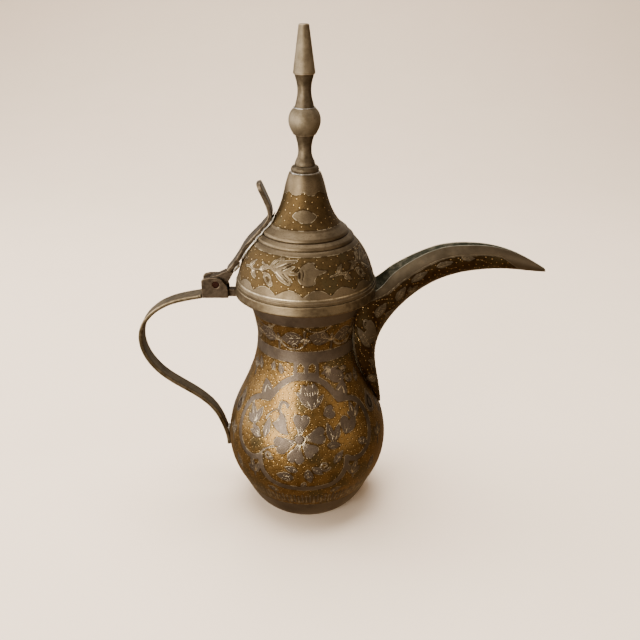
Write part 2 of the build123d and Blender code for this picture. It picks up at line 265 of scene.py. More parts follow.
# ---------------------------------------------------------------- ornament
def outline_distance(x, y, outline):
    """Signed distance to a closed outline, positive inside."""
    p, q = outline, np.roll(outline, -1, 0)
    e = q - p
    wx, wy = x[:, None] - p[:, 0], y[:, None] - p[:, 1]
    t = np.clip((wx * e[:, 0] + wy * e[:, 1]) / ((e ** 2).sum(1) + 1e-9), 0, 1)
    d = np.sqrt(((wx - t * e[:, 0]) ** 2 + (wy - t * e[:, 1]) ** 2).min(1))
    crosses = (p[:, 1] <= y[:, None]) != (q[:, 1] <= y[:, None])
    slope = e[:, 0] / np.where(np.abs(e[:, 1]) < 1e-9, 1e-9, e[:, 1])
    inside = (crosses & (wx < (y[:, None] - p[:, 1]) * slope)).sum(1) % 2 == 1
    return np.where(inside, d, -d)


def stroke_distance(x, y, strokes):
    """How far inside the nearest tapered stroke; rows are x0, y0, x1, y1, half-width 0 and 1."""
    x0, y0, x1, y1, w0, w1 = np.array(strokes, float).T
    ex, ey = x1 - x0, y1 - y0
    wx, wy = x[:, None] - x0, y[:, None] - y0
    t = np.clip((wx * ex + wy * ey) / (ex ** 2 + ey ** 2 + 1e-9), 0, 1)
    return (w0 + t * (w1 - w0) - np.hypot(wx - t * ex, wy - t * ey)).max(1)


def line_strokes(points, w0, w1):
    p = np.array(points, float)
    w = w0 + (w1 - w0) * lengths(p) / lengths(p)[-1]
    return [(*p[i], *p[i + 1], w[i], w[i + 1]) for i in range(len(p) - 1)]


def mirrored(half, n=10):
    """A closed outline, smooth through its half's points, mirrored about x = 0, cusps where it meets it."""
    right = spline(half, n * (len(half) - 1), even=False)
    return np.concatenate([right, right[-2:0:-1] * (-1, 1)])


class Motif:
    """Ornament in mm, x to the right and y up: tin fills, tin stems, bright cuts, dark gaps."""

    def __init__(self, fills=(), stems=(), cuts=(), gaps=()):
        self.fills, self.stems, self.cuts, self.gaps = list(fills), list(stems), list(cuts), list(gaps)

    def placed(self, x, y, turn=0.0, size=1.0, flip=1.0):
        c, s = math.cos(math.radians(turn)), math.sin(math.radians(turn))

        def move(px, py):
            px, py = flip * px * size, py * size
            return x + c * px - s * py, y + s * px + c * py

        fills = [np.stack(move(f[:, 0], f[:, 1]), 1) for f in self.fills]
        strokes = ([(*move(a, b), *move(d, e), w * size, v * size) for a, b, d, e, w, v in some]
                   for some in (self.stems, self.cuts, self.gaps))
        return Motif(fills, *strokes)

    def __add__(self, other):
        return Motif(self.fills + other.fills, self.stems + other.stems, self.cuts + other.cuts,
                     self.gaps + other.gaps)


def leaf(length, width, veins=4, swell=0.42):
    h = width / 2
    fill = mirrored([(0, 0), (0.72 * h, 0.18 * length), (h, swell * length),
                     (0.62 * h, 0.76 * length), (0, length)])
    cuts = [(0.1 * h, 0.10 * length, 0.1 * h, 0.72 * length, 0.15, 0.05)]
    for k in range(veins):
        y = length * (0.2 + 0.56 * k / max(veins, 1))
        for side in (-1, 1):
            cuts.append((side * 0.3 * h, y, side * 0.72 * h, y + 0.17 * length, 0.14, 0.05))
    return Motif([fill], [], cuts)


def rosette(petals=((-4, 0.95), (-80, 1.0), (-135, 0.86), (170, 0.98), (113, 1.03))):
    """Notched petals, drawn in at the base, around a ringed boss. petals holds each turn and size."""
    petal = mirrored([(0.7, 2.3), (1.4, 4.2), (2.8, 6.5), (3.5, 8.5), (2.5, 10.2), (1.0, 10.4), (0, 8.9)])
    whole = Motif()
    for turn, size in petals:
        cuts = [(0.8 * u, 2.6, 1.8 * u, 5.4 - abs(u), 0.10, 0.04) for u in (-1, -0.5, 0, 0.5, 1)]
        cuts += [(0, 9.0, 0, 7.8, 0.15, 0.05), (2.9, 9.9, 2.2, 8.8, 0.14, 0.05)]
        rim = petal[4:42:3] + (0.22, 0)
        whole += Motif([petal], [], cuts + line_strokes(rim, 0.12, 0.05)).placed(0, 0, turn, size)
    turns = np.linspace(0, 2 * math.pi, 25)
    boss = 1.75 * np.stack([np.cos(turns[:-1]), np.sin(turns[:-1])], 1)
    ring = 2.1 * np.stack([np.cos(turns), np.sin(turns)], 1)
    dark = 1.85 * np.stack([np.cos(turns), np.sin(turns)], 1)
    return whole + Motif([boss], [], line_strokes(ring, 0.13, 0.13), line_strokes(dark, 0.13, 0.13))


SIX_PETALS = tuple((60 * k, 1.0) for k in range(6))


def tulip():
    """A closed bud on two long calyx leaves."""
    bud = mirrored([(0, 0), (2.4, 1.1), (3.5, 3.6), (3.1, 6.2), (2.1, 7.6), (1.1, 6.9), (0, 7.9)])
    cuts = [(x, 2.6 + 0.3 * abs(x), 1.12 * x, 4.6 + 0.2 * abs(x), 0.16, 0.05) for x in (-2, -1, 0, 1, 2)]
    cuts += [(2.9, 2.6, 3.1, 5.4, 0.14, 0.05), (-1.5, 6.2, -1.2, 5.2, 0.15, 0.05),
             (1.7, 7.0, 1.2, 5.7, 0.15, 0.05)]
    whole = Motif([bud], line_strokes([(0, 0.3), (-0.3, -2.4)], 0.45, 0.4), cuts)
    whole += leaf(9.2, 2.5, 1).placed(-0.3, -2.4, 33)
    return whole + leaf(7.0, 2.7, 2).placed(-0.1, -2.2, -52)


def heart_leaf():
    fill = mirrored([(0, 0), (2.6, 1.9), (4.1, 4.6), (3.3, 6.9), (1.3, 7.1), (0, 5.7)])
    cuts = [(0, 0.6, 0, 4.6, 0.15, 0.05), (0.8, 2.0, 2.4, 4.8, 0.15, 0.05), (-0.8, 2.0, -2.4, 4.8, 0.15, 0.05)]
    return Motif([fill], [], cuts)


def broad_leaf():
    """A broad three-cornered leaf hanging from a hooked stem."""
    fill = spline([(-1.2, 5.0), (0.4, 4.4), (2.2, 0.6), (3.9, -3.1)], 20, even=False)
    back = spline([(3.9, -3.1), (1.2, -3.4), (-1.7, -2.1), (-4.0, 0.1)], 20, even=False)
    side = spline([(-4.0, 0.1), (-2.4, 1.0), (-1.4, 2.8), (-1.2, 5.0)], 20, even=False)
    hook = spline([(-1.0, 4.8), (-1.5, 7.6), (-0.6, 9.2), (1.4, 8.7), (1.7, 7.7)], 20, even=False)
    edge = spline([(0.7, 5.1), (2.6, 1.4), (4.4, -2.9)], 12, even=False)
    return Motif([np.concatenate([fill, back[1:], side[1:-1]])], line_strokes(hook, 0.5, 0.55),
                 line_strokes(edge, 0.12, 0.07) + [(-1.0, 2.2, -2.2, 0.6, 0.14, 0.05)])


def sprout():
    """Three pointed leaves opening from a stem, the middle one with a bright stroke."""
    whole = Motif([], line_strokes([(0, -2.2), (0, 0.8)], 0.4, 0.5))
    for turn, length in ((24, 9.0), (-20, 7.8), (62, 5.4)):
        whole += leaf(length, 3.0, 0).placed(0, 0, turn)
    return whole + Motif([], [], [(0.2, 1.0, 0.3, 4.4, 0.34, 0.06), (-1.9, 3.4, -2.8, 6.0, 0.15, 0.05)])


def cusp_leaf():
    """The leaf that grows out of each corner of the medallion."""
    fill = mirrored([(2.6, 0), (2.9, 2.0), (2.3, 4.4), (0, 7.6)])
    return Motif([fill], [], [(-0.3, 4.6, -1.3, 2.2, 0.15, 0.32), (0.3, 4.7, 1.7, 3.0, 0.16, 0.22),
                              (2.2, 5.0, 0.9, 7.0, 0.12, 0.05)])


def teardrop():
    """A broad ring drawn to a point, with a dark slip inside."""
    outer = mirrored([(0, 0), (2.9, 1.6), (3.4, 4.2), (1.7, 7.6), (0, 10.0)])
    gap = mirrored([(0, 1.9), (1.2, 2.7), (1.3, 4.2), (0.6, 6.0), (0, 6.9)])
    return Motif([outer], [], line_strokes(outer[3:40:3] * 0.86 + (0, 0.6), 0.12, 0.06),
                 line_strokes(gap, 0.4, 0.4))


def spray(n=3, length=6.5, spread=42):
    whole = Motif([], line_strokes([(0, -3.2), (0.2, -1.4), (0, 0.6)], 0.45, 0.35))
    for k in range(n):
        turn = spread * (k - (n - 1) / 2)
        whole += leaf(length * (1 - 0.12 * abs(k - (n - 1) / 2)), 0.44 * length, 2).placed(0, 0, turn)
    return whole


def curl(radius, turns=1.2, width=0.5):
    t = np.linspace(0, 2 * math.pi * turns, 26)
    rad = radius * (1 - 0.78 * t / t[-1])
    points = np.stack([rad * np.cos(t) - radius, rad * np.sin(t)], 1)
    return Motif([], line_strokes(points, width, 0.55 * width),
                 line_strokes(points[2:-2], 0.1, 0.08))


def stem(points, width=0.5):
    points = spline(points, 6 * len(points))
    return Motif([], line_strokes(points, width, 0.7 * width), line_strokes(points[1:-1], 0.1, 0.08))


class Skin:
    """A decorated surface as flat arrays in mm: angle (degrees), distance up the profile, radius.
    tin is how far inside the tinned pattern a point is, cut and gap how far inside a bright or dark cut.
    A surface that doesn't wrap round has plain mm in place of the angle."""

    def __init__(self, angle, up, radius, wraps=True):
        self.angle, self.up, self.radius, self.wraps = angle, up, radius, wraps
        self.tin = np.full(angle.shape, -9.0)
        self.cut = np.full(angle.shape, -9.0)
        self.gap = np.full(angle.shape, -9.0)

    def offset(self, angle, up):
        if not self.wraps:
            return self.angle - angle, self.up - up
        return np.radians((self.angle - angle + 180) % 360 - 180) * self.radius, self.up - up

    def stamp(self, motif, angle, up, turn=0.0, size=1.0, flip=1.0):
        motif = motif.placed(0, 0, turn, size, flip)
        x, y = self.offset(angle, up)
        ends = [np.abs(f).max() for f in motif.fills]
        ends += [np.abs(np.array(s)[:, :4]).max() for s in (motif.stems, motif.cuts) if len(s)]
        near = np.flatnonzero((np.abs(x) < max(ends) + 3) & (np.abs(y) < max(ends) + 3))
        if not len(near):
            return
        x, y = x[near], y[near]
        for fill in motif.fills:
            self.tin[near] = np.maximum(self.tin[near], outline_distance(x, y, fill))
        if motif.stems:
            self.tin[near] = np.maximum(self.tin[near], stroke_distance(x, y, motif.stems))
        if motif.cuts:
            self.cut[near] = np.maximum(self.cut[near], stroke_distance(x, y, motif.cuts))
        if motif.gaps:
            self.gap[near] = np.maximum(self.gap[near], stroke_distance(x, y, motif.gaps))

    def add(self, distance):
        self.tin = np.maximum(self.tin, distance)

    def ribbon(self, points, half_wide, angle=0.0, flip=1.0):
        """A band of tin along a line of angles and heights."""
        for (a0, u0), (a1, u1) in zip(points[:-1], points[1:]):
            x, y = self.offset(angle + flip * a0, u0)
            near = np.flatnonzero((np.abs(x) < 8) & (np.abs(y) < 8))
            ex, ey = np.radians(flip * (a1 - a0)) * self.radius[near], u1 - u0
            t = np.clip((x[near] * ex + y[near] * ey) / (ex ** 2 + ey ** 2 + 1e-9), 0, 1)
            far = np.hypot(x[near] - t * ex, y[near] - t * ey)
            self.tin[near] = np.maximum(self.tin[near], half_wide - far)

    def open_window(self, outline, angle, up):
        """Takes the pattern away inside a small outline in mm."""
        x, y = self.offset(angle, up)
        near = np.flatnonzero((np.abs(x) < 8) & (np.abs(y) < 8))
        gap = outline_distance(x[near], y[near], outline)
        self.tin[near] = np.minimum(self.tin[near], -gap)

    def band(self, low, high):
        self.add(np.minimum(self.up - low, high - self.up))

    def line(self, up, width=0.2):
        self.cut = np.maximum(self.cut, width - np.abs(self.up - up))


# ---------------------------------------------------------------- materials
class Nodes:
    """Short helpers for building one material's node tree."""

    def __init__(self, name):
        self.material = bpy.data.materials.new(name)
        self.material.use_nodes = True
        self.tree = self.material.node_tree
        self.shader = self.tree.nodes["Principled BSDF"]
        self.place = self.add("ShaderNodeTexCoord").outputs["Object"]

    def add(self, kind, **settings):
        node = self.tree.nodes.new(kind)
        for key, value in settings.items():
            setattr(node, key, value)
        return node

    def put(self, socket, value):
        if isinstance(value, bpy.types.NodeSocket):
            self.tree.links.new(value, socket)
        else:
            socket.default_value = value

    def math(self, operation, a, b=0.0, c=0.0):
        node = self.add("ShaderNodeMath", operation=operation)
        for socket, value in zip(node.inputs, (a, b, c)):
            self.put(socket, value)
        return node.outputs[0]

    def ramp(self, value, low, high, out_low=0.0, out_high=1.0):
        node = self.add("ShaderNodeMapRange", interpolation_type="SMOOTHSTEP")
        for socket, v in zip(node.inputs, (value, low, high, out_low, out_high)):
            self.put(socket, v)
        return node.outputs[0]

    def noise(self, per_mm, detail=4.0, stretch=(1, 1, 1), roughness=0.55, offset=0.0):
        mapping = self.add("ShaderNodeMapping")
        self.put(mapping.inputs["Vector"], self.place)
        mapping.inputs["Scale"].default_value = [1000 * per_mm * s for s in stretch]
        mapping.inputs["Location"].default_value = (offset, 2.7 * offset, 1.3 * offset)
        node = self.add("ShaderNodeTexNoise")
        self.put(node.inputs["Vector"], mapping.outputs[0])
        node.inputs["Scale"].default_value = 1.0
        node.inputs["Detail"].default_value = detail
        node.inputs["Roughness"].default_value = roughness
        return node.outputs["Fac"]

    def field(self, name, vector=False):
        return self.add("ShaderNodeAttribute", attribute_name=name).outputs["Vector" if vector else "Fac"]

    def mix(self, factor, a, b):
        node = self.add("ShaderNodeMix", data_type="RGBA")
        self.put(node.inputs["Factor"], factor)
        for socket, value in zip(node.inputs[6:8], (a, b)):
            self.put(socket, (*value, 1) if isinstance(value, tuple) else value)
        return node.outputs[2]

    def finish(self, colour, roughness, metallic, height, depth_mm):
        bump = self.add("ShaderNodeBump")
        bump.inputs["Distance"].default_value = depth_mm * MM
        bump.inputs["Strength"].default_value = 1.0
        self.put(bump.inputs["Height"], height)
        for key, value in (("Base Color", colour), ("Roughness", roughness), ("Metallic", metallic),
                           ("Normal", bump.outputs[0])):
            self.put(self.shader.inputs[key], value)
        return self.material


TIN = (0.182, 0.148, 0.120)
TIN_DARK = (0.115, 0.091, 0.071)
BRASS = (0.305, 0.190, 0.070)
BRASS_DARK = (0.205, 0.120, 0.037)
LID_TIN = (0.228, 0.181, 0.118)
LID_TIN_DARK = (0.108, 0.082, 0.050)
LID_BRASS = (0.150, 0.100, 0.043)
LID_BRASS_DARK = (0.095, 0.062, 0.027)
# Fresh metal in the cuts, painted lighter for a highlight as well.
CUT_METAL_AND_GLINT = (0.76, 0.66, 0.47)
# Burnished punch marks, painted lighter for a glint as well.
DOT_METAL_AND_GLINT = (0.72, 0.52, 0.26)
# Dark dirt colour, also used as painted shade in hollows, grooves, dimple rims and at the foot of the tin pattern.
GRIME_AND_SHADE = (0.026, 0.017, 0.009)
AGED = (0.212, 0.168, 0.106)
AGED_DARK = (0.105, 0.076, 0.044)
SOOTY = (0.060, 0.044, 0.028)
OLIVE = (0.112, 0.092, 0.047)
TARNISH = 0.6                  # how much less metallic the inside is


def engraved_metal(name, tin=TIN, tin_dark=TIN_DARK, ground=BRASS, ground_dark=BRASS_DARK, lit=0.8, matt=0.0,
                   streaks=0.25, lining=(SOOTY, AGED_DARK), tarnished=0.75):
    """Tinned pattern over a punched brass ground, with cuts and dots painted bright for fresh metal and a painted
    highlight, and painted shade with dirt in the corners. lit sets how strong the painted highlight on cuts and
    outlines is.
    """
    n = Nodes(name)
    blotch = n.noise(0.075, 4)
    patch = n.noise(0.42, 4, offset=3.1)
    fine = n.noise(2.3, 5, offset=7.7)
    scratch = n.noise(1.1, 3, (1, 1, 7), offset=1.9)
    tin_in = n.math("ADD", n.field("tin"), n.math("MULTIPLY_ADD", fine, 0.22, -0.11))
    cut_in = n.math("ADD", n.field("cut"), n.math("MULTIPLY_ADD", fine, 0.12, -0.06))
    edge = n.field("edge")
    dots = n.add("ShaderNodeSeparateXYZ")
    n.put(dots.inputs[0], n.field("dots", vector=True))
    away = n.math("SQRT", n.math("ADD", n.math("POWER", dots.outputs[0], 2.0),
                                 n.math("POWER", dots.outputs[1], 2.0)))
    away = n.math("ADD", away, n.math("MULTIPLY_ADD", patch, 0.3, -0.15))
    on_tin = n.ramp(tin_in, -0.09, 0.09)
    off_tin = n.math("SUBTRACT", 1.0, on_tin)
    near_dot = n.ramp(dots.outputs[2], 0.85, 0.65)
    dot = n.math("MULTIPLY", n.math("MULTIPLY", n.ramp(away, 0.30, 0.14), near_dot), off_tin)
    # Painted shade: a dark ring round each punched dot.
    dot_rim_shade = n.math("MULTIPLY", n.ramp(n.math("ABSOLUTE", n.math("SUBTRACT", away, 0.46)), 0.2, 0.05),
                      near_dot)
    cut = n.ramp(cut_in, -0.09, 0.05)
    gap = n.ramp(n.field("gap"), -0.15, 0.02)
    # A thin line round the tin: dark as painted shade with dirt in its groove, and painted bright as a highlight where
    # outline_lit.
    outline = n.ramp(n.math("ABSOLUTE", n.math("ADD", tin_in, 0.08)), 0.13, 0.05)
    outline_lit = n.math("MULTIPLY", outline, n.ramp(patch, 0.46, 0.58))
    # Painted shade on the ground at the foot of the raised tin pattern.
    foot = n.math("MULTIPLY", n.ramp(tin_in, -0.8, -0.1), off_tin)

    tin_colour = n.mix(n.ramp(blotch, 0.30, 0.62), tin_dark, tin)
    tin_colour = n.mix(n.ramp(patch, 0.5, 0.78, 0.0, 0.30), tin_colour, AGED)
    ground_colour = n.mix(n.ramp(n.math("ADD", n.math("MULTIPLY", patch, 0.6), n.math("MULTIPLY", blotch, 0.4)),
                                 0.30, 0.66), ground_dark, ground)
    ground_colour = n.mix(n.ramp(blotch, 0.50, 0.66, 0.0, tarnished), ground_colour, OLIVE)
    # Painted shade at the foot of the tin pattern.
    ground_colour = n.mix(n.math("MULTIPLY", foot, 0.45), ground_colour, GRIME_AND_SHADE)
    # Painted shade round each punched dot.
    ground_colour = n.mix(n.math("MULTIPLY", dot_rim_shade, 0.35), ground_colour, GRIME_AND_SHADE)
    ground_colour = n.mix(n.ramp(fine, 0.52, 0.72, 0.0, 0.35), ground_colour, GRIME_AND_SHADE)
    colour = n.mix(on_tin, ground_colour, tin_colour)
    colour = n.mix(n.ramp(scratch, 0.52, 0.72, 0.0, streaks), colour, GRIME_AND_SHADE)
    # Dark outline: painted shade with dirt. Bright outline: painted highlight.
    colour = n.mix(n.math("MULTIPLY", outline, 0.45), colour, GRIME_AND_SHADE)
    colour = n.mix(n.math("MULTIPLY", outline_lit, 0.8 * lit), colour, CUT_METAL_AND_GLINT)
    # Painted shade with dirt in the hollows.
    colour = n.mix(n.ramp(edge, -0.25, -1.1, 0.0, 0.85), colour, GRIME_AND_SHADE)
    # Punched dots painted bright: burnished metal plus a painted glint.
    colour = n.mix(n.math("MULTIPLY", dot, 0.9), colour, DOT_METAL_AND_GLINT)
    # Cuts painted bright: fresh metal plus a painted highlight, stronger where lit is higher.
    colour = n.mix(n.math("MULTIPLY", cut, n.ramp(patch, 0.30, 0.55, 0.3 * lit, lit)), colour, CUT_METAL_AND_GLINT)
    colour = n.mix(n.math("MULTIPLY", gap, 0.95), colour, GRIME_AND_SHADE)
    inside = n.field("inside")
    colour = n.mix(inside, colour, n.mix(n.ramp(patch, 0.4, 0.65), *lining))

    rough = n.math("MULTIPLY_ADD", patch, 0.24, 0.25)
    rough = n.math("ADD", rough, n.math("MULTIPLY", on_tin, 0.12))
    rough = n.math("ADD", rough, n.math("MULTIPLY", off_tin, matt))
    rough = n.math("SUBTRACT", rough, n.math("MULTIPLY", n.math("MAXIMUM", cut, dot), 0.14))
    rough = n.math("MAXIMUM", rough, n.math("MULTIPLY", inside, 0.55))

    height = n.math("MULTIPLY", on_tin, 0.18)
    height = n.math("SUBTRACT", height, n.math("MULTIPLY", n.math("MAXIMUM", cut, gap), 0.55))
    height = n.math("SUBTRACT", height, n.math("MULTIPLY", n.ramp(away, 0.42, 0.0),
                                               n.math("MULTIPLY", near_dot, 0.6)))
    height = n.math("SUBTRACT", height, n.math("MULTIPLY", outline, 0.26))
    height = n.math("ADD", height, n.math("MULTIPLY", fine, n.math("MULTIPLY_ADD", off_tin, 0.25, 0.15)))
    height = n.math("ADD", height, n.math("MULTIPLY", scratch, 0.14))
    height = n.math("ADD", height, n.math("MULTIPLY", patch, 0.30))
    metallic = n.math("MULTIPLY_ADD", inside, -TARNISH, 1.0)
    return n.finish(colour, rough, metallic, height, 0.10)


def plain_metal(name, light=AGED, dark=AGED_DARK, grime_and_shade=GRIME_AND_SHADE, shine=(0.32, 0.26), lumpy=0.4, worn=0.7,
                metallic=1.0, patchiness=(0.36, 0.62), rings=7):
    """Old plain metal: blotchy tarnish, painted shade with dirt in the hollows, worn bright edges, fine scratches."""
    n = Nodes(name)
    blotch = n.noise(0.11, 5, offset=5.0)
    patch = n.noise(0.55, 5, offset=2.0)
    fine = n.noise(2.6, 5, offset=8.0)
    scratch = n.noise(1.2, 3, (1, 1, rings), offset=4.0)
    edge = n.math("ADD", n.field("edge"), n.math("MULTIPLY_ADD", patch, 1.2, -0.6))
    inside = n.field("inside")
    colour = n.mix(n.ramp(n.math("ADD", n.math("MULTIPLY", blotch, 0.6), n.math("MULTIPLY", patch, 0.4)),
                          *patchiness), dark, light)
    colour = n.mix(n.ramp(fine, 0.56, 0.74, 0.0, 0.40), colour, grime_and_shade)
    colour = n.mix(n.ramp(scratch, 0.60, 0.74, 0.0, 0.35), colour, grime_and_shade)
    colour = n.mix(n.ramp(edge, 0.35, 1.5, 0.0, worn), colour, tuple(min(1.0, c * 2.2) for c in light))
    # Painted shade with dirt in the hollows.
    colour = n.mix(n.ramp(edge, -0.4, -1.3, 0.0, 0.9), colour, grime_and_shade)
    colour = n.mix(n.math("MULTIPLY", inside, 0.75), colour, n.mix(patch, grime_and_shade, dark))
    rough = n.math("MULTIPLY_ADD", patch, shine[1], shine[0])
    rough = n.math("SUBTRACT", rough, n.ramp(edge, 0.35, 1.5, 0.0, 0.10))
    height = n.math("ADD", n.math("MULTIPLY", patch, lumpy), n.math("MULTIPLY", fine, 0.22))
    height = n.math("ADD", height, n.math("MULTIPLY", scratch, 0.18))
    return n.finish(colour, rough, metallic, height, 0.10)


engraved = engraved_metal("engraved_metal")
engraved_lid = engraved_metal("engraved_lid", LID_TIN, LID_TIN_DARK, LID_BRASS, LID_BRASS_DARK, lit=0.85,
                              matt=0.22, streaks=0.5)
engraved_spout = engraved_metal("engraved_spout", (0.160, 0.134, 0.098), (0.088, 0.072, 0.049),
                                (0.085, 0.050, 0.018), (0.045, 0.027, 0.011), lit=0.3,
                                lining=((0.120, 0.126, 0.096), (0.300, 0.290, 0.230)))
aged = plain_metal("aged_metal")
strap_metal = plain_metal("aged_strap", (0.235, 0.190, 0.125), (0.090, 0.068, 0.040), lumpy=1.3, worn=0.35,
                          rings=2)
lever_metal = plain_metal("aged_lever", (0.175, 0.142, 0.104), (0.070, 0.054, 0.036), lumpy=1.0, worn=0.4,
                          rings=2)
block_metal = plain_metal("aged_block", (0.125, 0.097, 0.070), (0.048, 0.035, 0.025), shine=(0.42, 0.3),
                          lumpy=1.4, worn=0.5)
finial_metal = plain_metal("aged_finial", (0.315, 0.268, 0.192), (0.200, 0.164, 0.110), shine=(0.52, 0.16),
                           rings=9)
spindle_metal = plain_metal("aged_spindle", (0.180, 0.147, 0.102), (0.090, 0.070, 0.045), shine=(0.44, 0.18),
                            rings=12)
solder_metal = plain_metal("solder", (0.60, 0.58, 0.53), (0.20, 0.18, 0.145), shine=(0.36, 0.24), lumpy=2.2,
                           worn=0.3, patchiness=(0.44, 0.58))
verdigris = plain_metal("verdigris_solder", (0.150, 0.165, 0.120), (0.062, 0.068, 0.050), shine=(0.5, 0.3),
                        lumpy=1.8, worn=0.2, metallic=0.45)
rust = plain_metal("rusted_pin", (0.045, 0.016, 0.010), (0.012, 0.006, 0.004), shine=(0.55, 0.3),
                   lumpy=1.6, worn=0.15, metallic=0.9)


def edge_field(obj):
    """Stores how sharply the surface turns at each point: above 0 on ridges, below 0 in hollows."""
    mesh = obj.data
    count = len(mesh.vertices)
    co = np.zeros(count * 3)
    mesh.vertices.foreach_get("co", co)
    co = co.reshape(-1, 3) / MM
    normal = np.zeros(count * 3)
    mesh.vertex_normals.foreach_get("vector", normal)
    normal = normal.reshape(-1, 3)
    ends = np.zeros(len(mesh.edges) * 2, int)
    mesh.edges.foreach_get("vertices", ends)
    i, j = ends.reshape(-1, 2).T
    d = co[j] - co[i]
    far = (d ** 2).sum(1) + 1e-4
    total = np.bincount(i, (normal[i] * d).sum(1) / far, count)
    total -= np.bincount(j, (normal[j] * d).sum(1) / far, count)
    degree = np.bincount(i, minlength=count) + np.bincount(j, minlength=count) + 1e-9
    turn = np.clip(-2 * total / degree, -4, 4)
    for _ in range(2):
        turn = 0.5 * turn + 0.5 * (np.bincount(i, turn[j], count) + np.bincount(j, turn[i], count)) / degree
    attribute = mesh.attributes.new("edge", "FLOAT", "POINT")
    attribute.data.foreach_set("value", turn.astype(np.float32))


# ---------------------------------------------------------------- decorated shells
def pick_dots(skin, points, spacing, margin):
    """Vertices to punch, at least a spacing apart and clear of the pattern."""
    free = np.flatnonzero((skin.tin < -margin) & (skin.cut < -margin))
    cells = {}
    chosen = []
    for k in rng.permutation(free).tolist():
        p = points[k]
        cell = tuple((p // spacing).astype(int).tolist())
        around_cell = [cells.get((cell[0] + a, cell[1] + b, cell[2] + c), ())
                       for a in (-1, 0, 1) for b in (-1, 0, 1) for c in (-1, 0, 1)]
        if all(np.abs(p - points[m]).max() > spacing or ((p - points[m]) ** 2).sum() > spacing ** 2
               for some in around_cell for m in some):
            cells.setdefault(cell, []).append(k)
            chosen.append(k)
    return np.array(chosen)


def dot_offsets(skin, points, chosen):
    """For each point, the way to its nearest dot across and up the surface, and the distance."""
    tree = kdtree.KDTree(len(chosen))
    for k, vertex in enumerate(chosen.tolist()):
        tree.insert(points[vertex].tolist(), k)
    tree.balance()
    nearest = chosen[[tree.find(p)[1] for p in points.tolist()]]
    across, along = skin.offset(skin.angle[nearest], skin.up[nearest])
    return np.stack([across, along, np.hypot(across, along)], 1)


def worked(skin, points, spacing=1.75):
    dots = dot_offsets(skin, points, pick_dots(skin, points, spacing, 0.5))
    ground = 0.03 * (1 - smooth(skin.tin, -0.3, 0.12))
    cuts = 0.06 * smooth(np.maximum(skin.cut, skin.gap), -0.22, 0.1)
    punched = 0.05 * np.exp(-(dots[:, 2] / 0.42) ** 2)
    return dots, -(ground + cuts + punched)


def decorated_lathe(name, outer, rest, cols, decorate, body, node, material, dent=0.10,
                    spacing=1.75, after=None):
    """A turned shell whose outer rows carry ornament. rest closes the outline back to the start."""
    profile = np.concatenate([outer, rest])
    points = revolve_points(profile, cols)
    n = len(outer)
    up = np.repeat(lengths(outer), cols)
    skin = Skin(np.tile(around(cols), n), up, np.repeat(outer[:, 0], cols))
    decorate(skin, lambda z: float(np.interp(z, outer[:, 1], lengths(outer))))
    flat = points[:n].reshape(-1, 3)
    dots, depth = worked(skin, flat, spacing)
    depth = depth - dent * (0.5 + 0.5 * lumps(flat, 14.0, 3, 2)) - 0.02 * (1 + lumps(flat, 1.6, 5, 2))
    depth = depth * smooth(np.minimum(up, up[-1] - up), 0, 2.5)
    whole = np.zeros(points.shape[:2])
    whole[:n] = depth.reshape(n, cols)
    points = pushed(points, profile, cols, whole)
    spare = (len(profile) - n) * cols
    fields = {"tin": np.concatenate([skin.tin, np.full(spare, 9.0)]),
              "cut": np.concatenate([skin.cut, np.full(spare, -9.0)]),
              "gap": np.concatenate([skin.gap, np.full(spare, -9.0)]),
              "dots": np.concatenate([dots, np.full((spare, 3), 9.0)]),
              "inside": np.concatenate([np.zeros(n * cols), np.ones(spare)])}
    faces = grid_faces(len(profile), cols, True, True)
    if after:
        points, faces = after(points, n, cols)
    obj = mesh_object(name, points.reshape(-1, 3), faces, fields)
    square_up(obj)
    edge_field(obj)
    return settle(obj, body, node, material)


# ---------------------------------------------------------------- patterns
def eye():
    """A plain lens-shaped leaf."""
    return Motif([mirrored([(0, 0), (2.0, 2.5), (2.6, 4.8), (2.0, 7.1), (0, 9.6)])])


TOP_LOBE = [(0, 69.3), (7, 69.0), (17, 67.7), (25, 64.9), (29.8, 62.1), (33.4, 59.4)]
SIDE_LOBE = [(33.4, 59.4), (41, 58.9), (51, 57.0), (57, 53.2), (58, 47.0), (53, 39.2), (43, 35.0), (31.5, 36.6)]
LOW_LOBE = [(31.5, 36.6), (29.8, 31.2), (25, 27.2), (15, 24.4), (0, 23.6)]


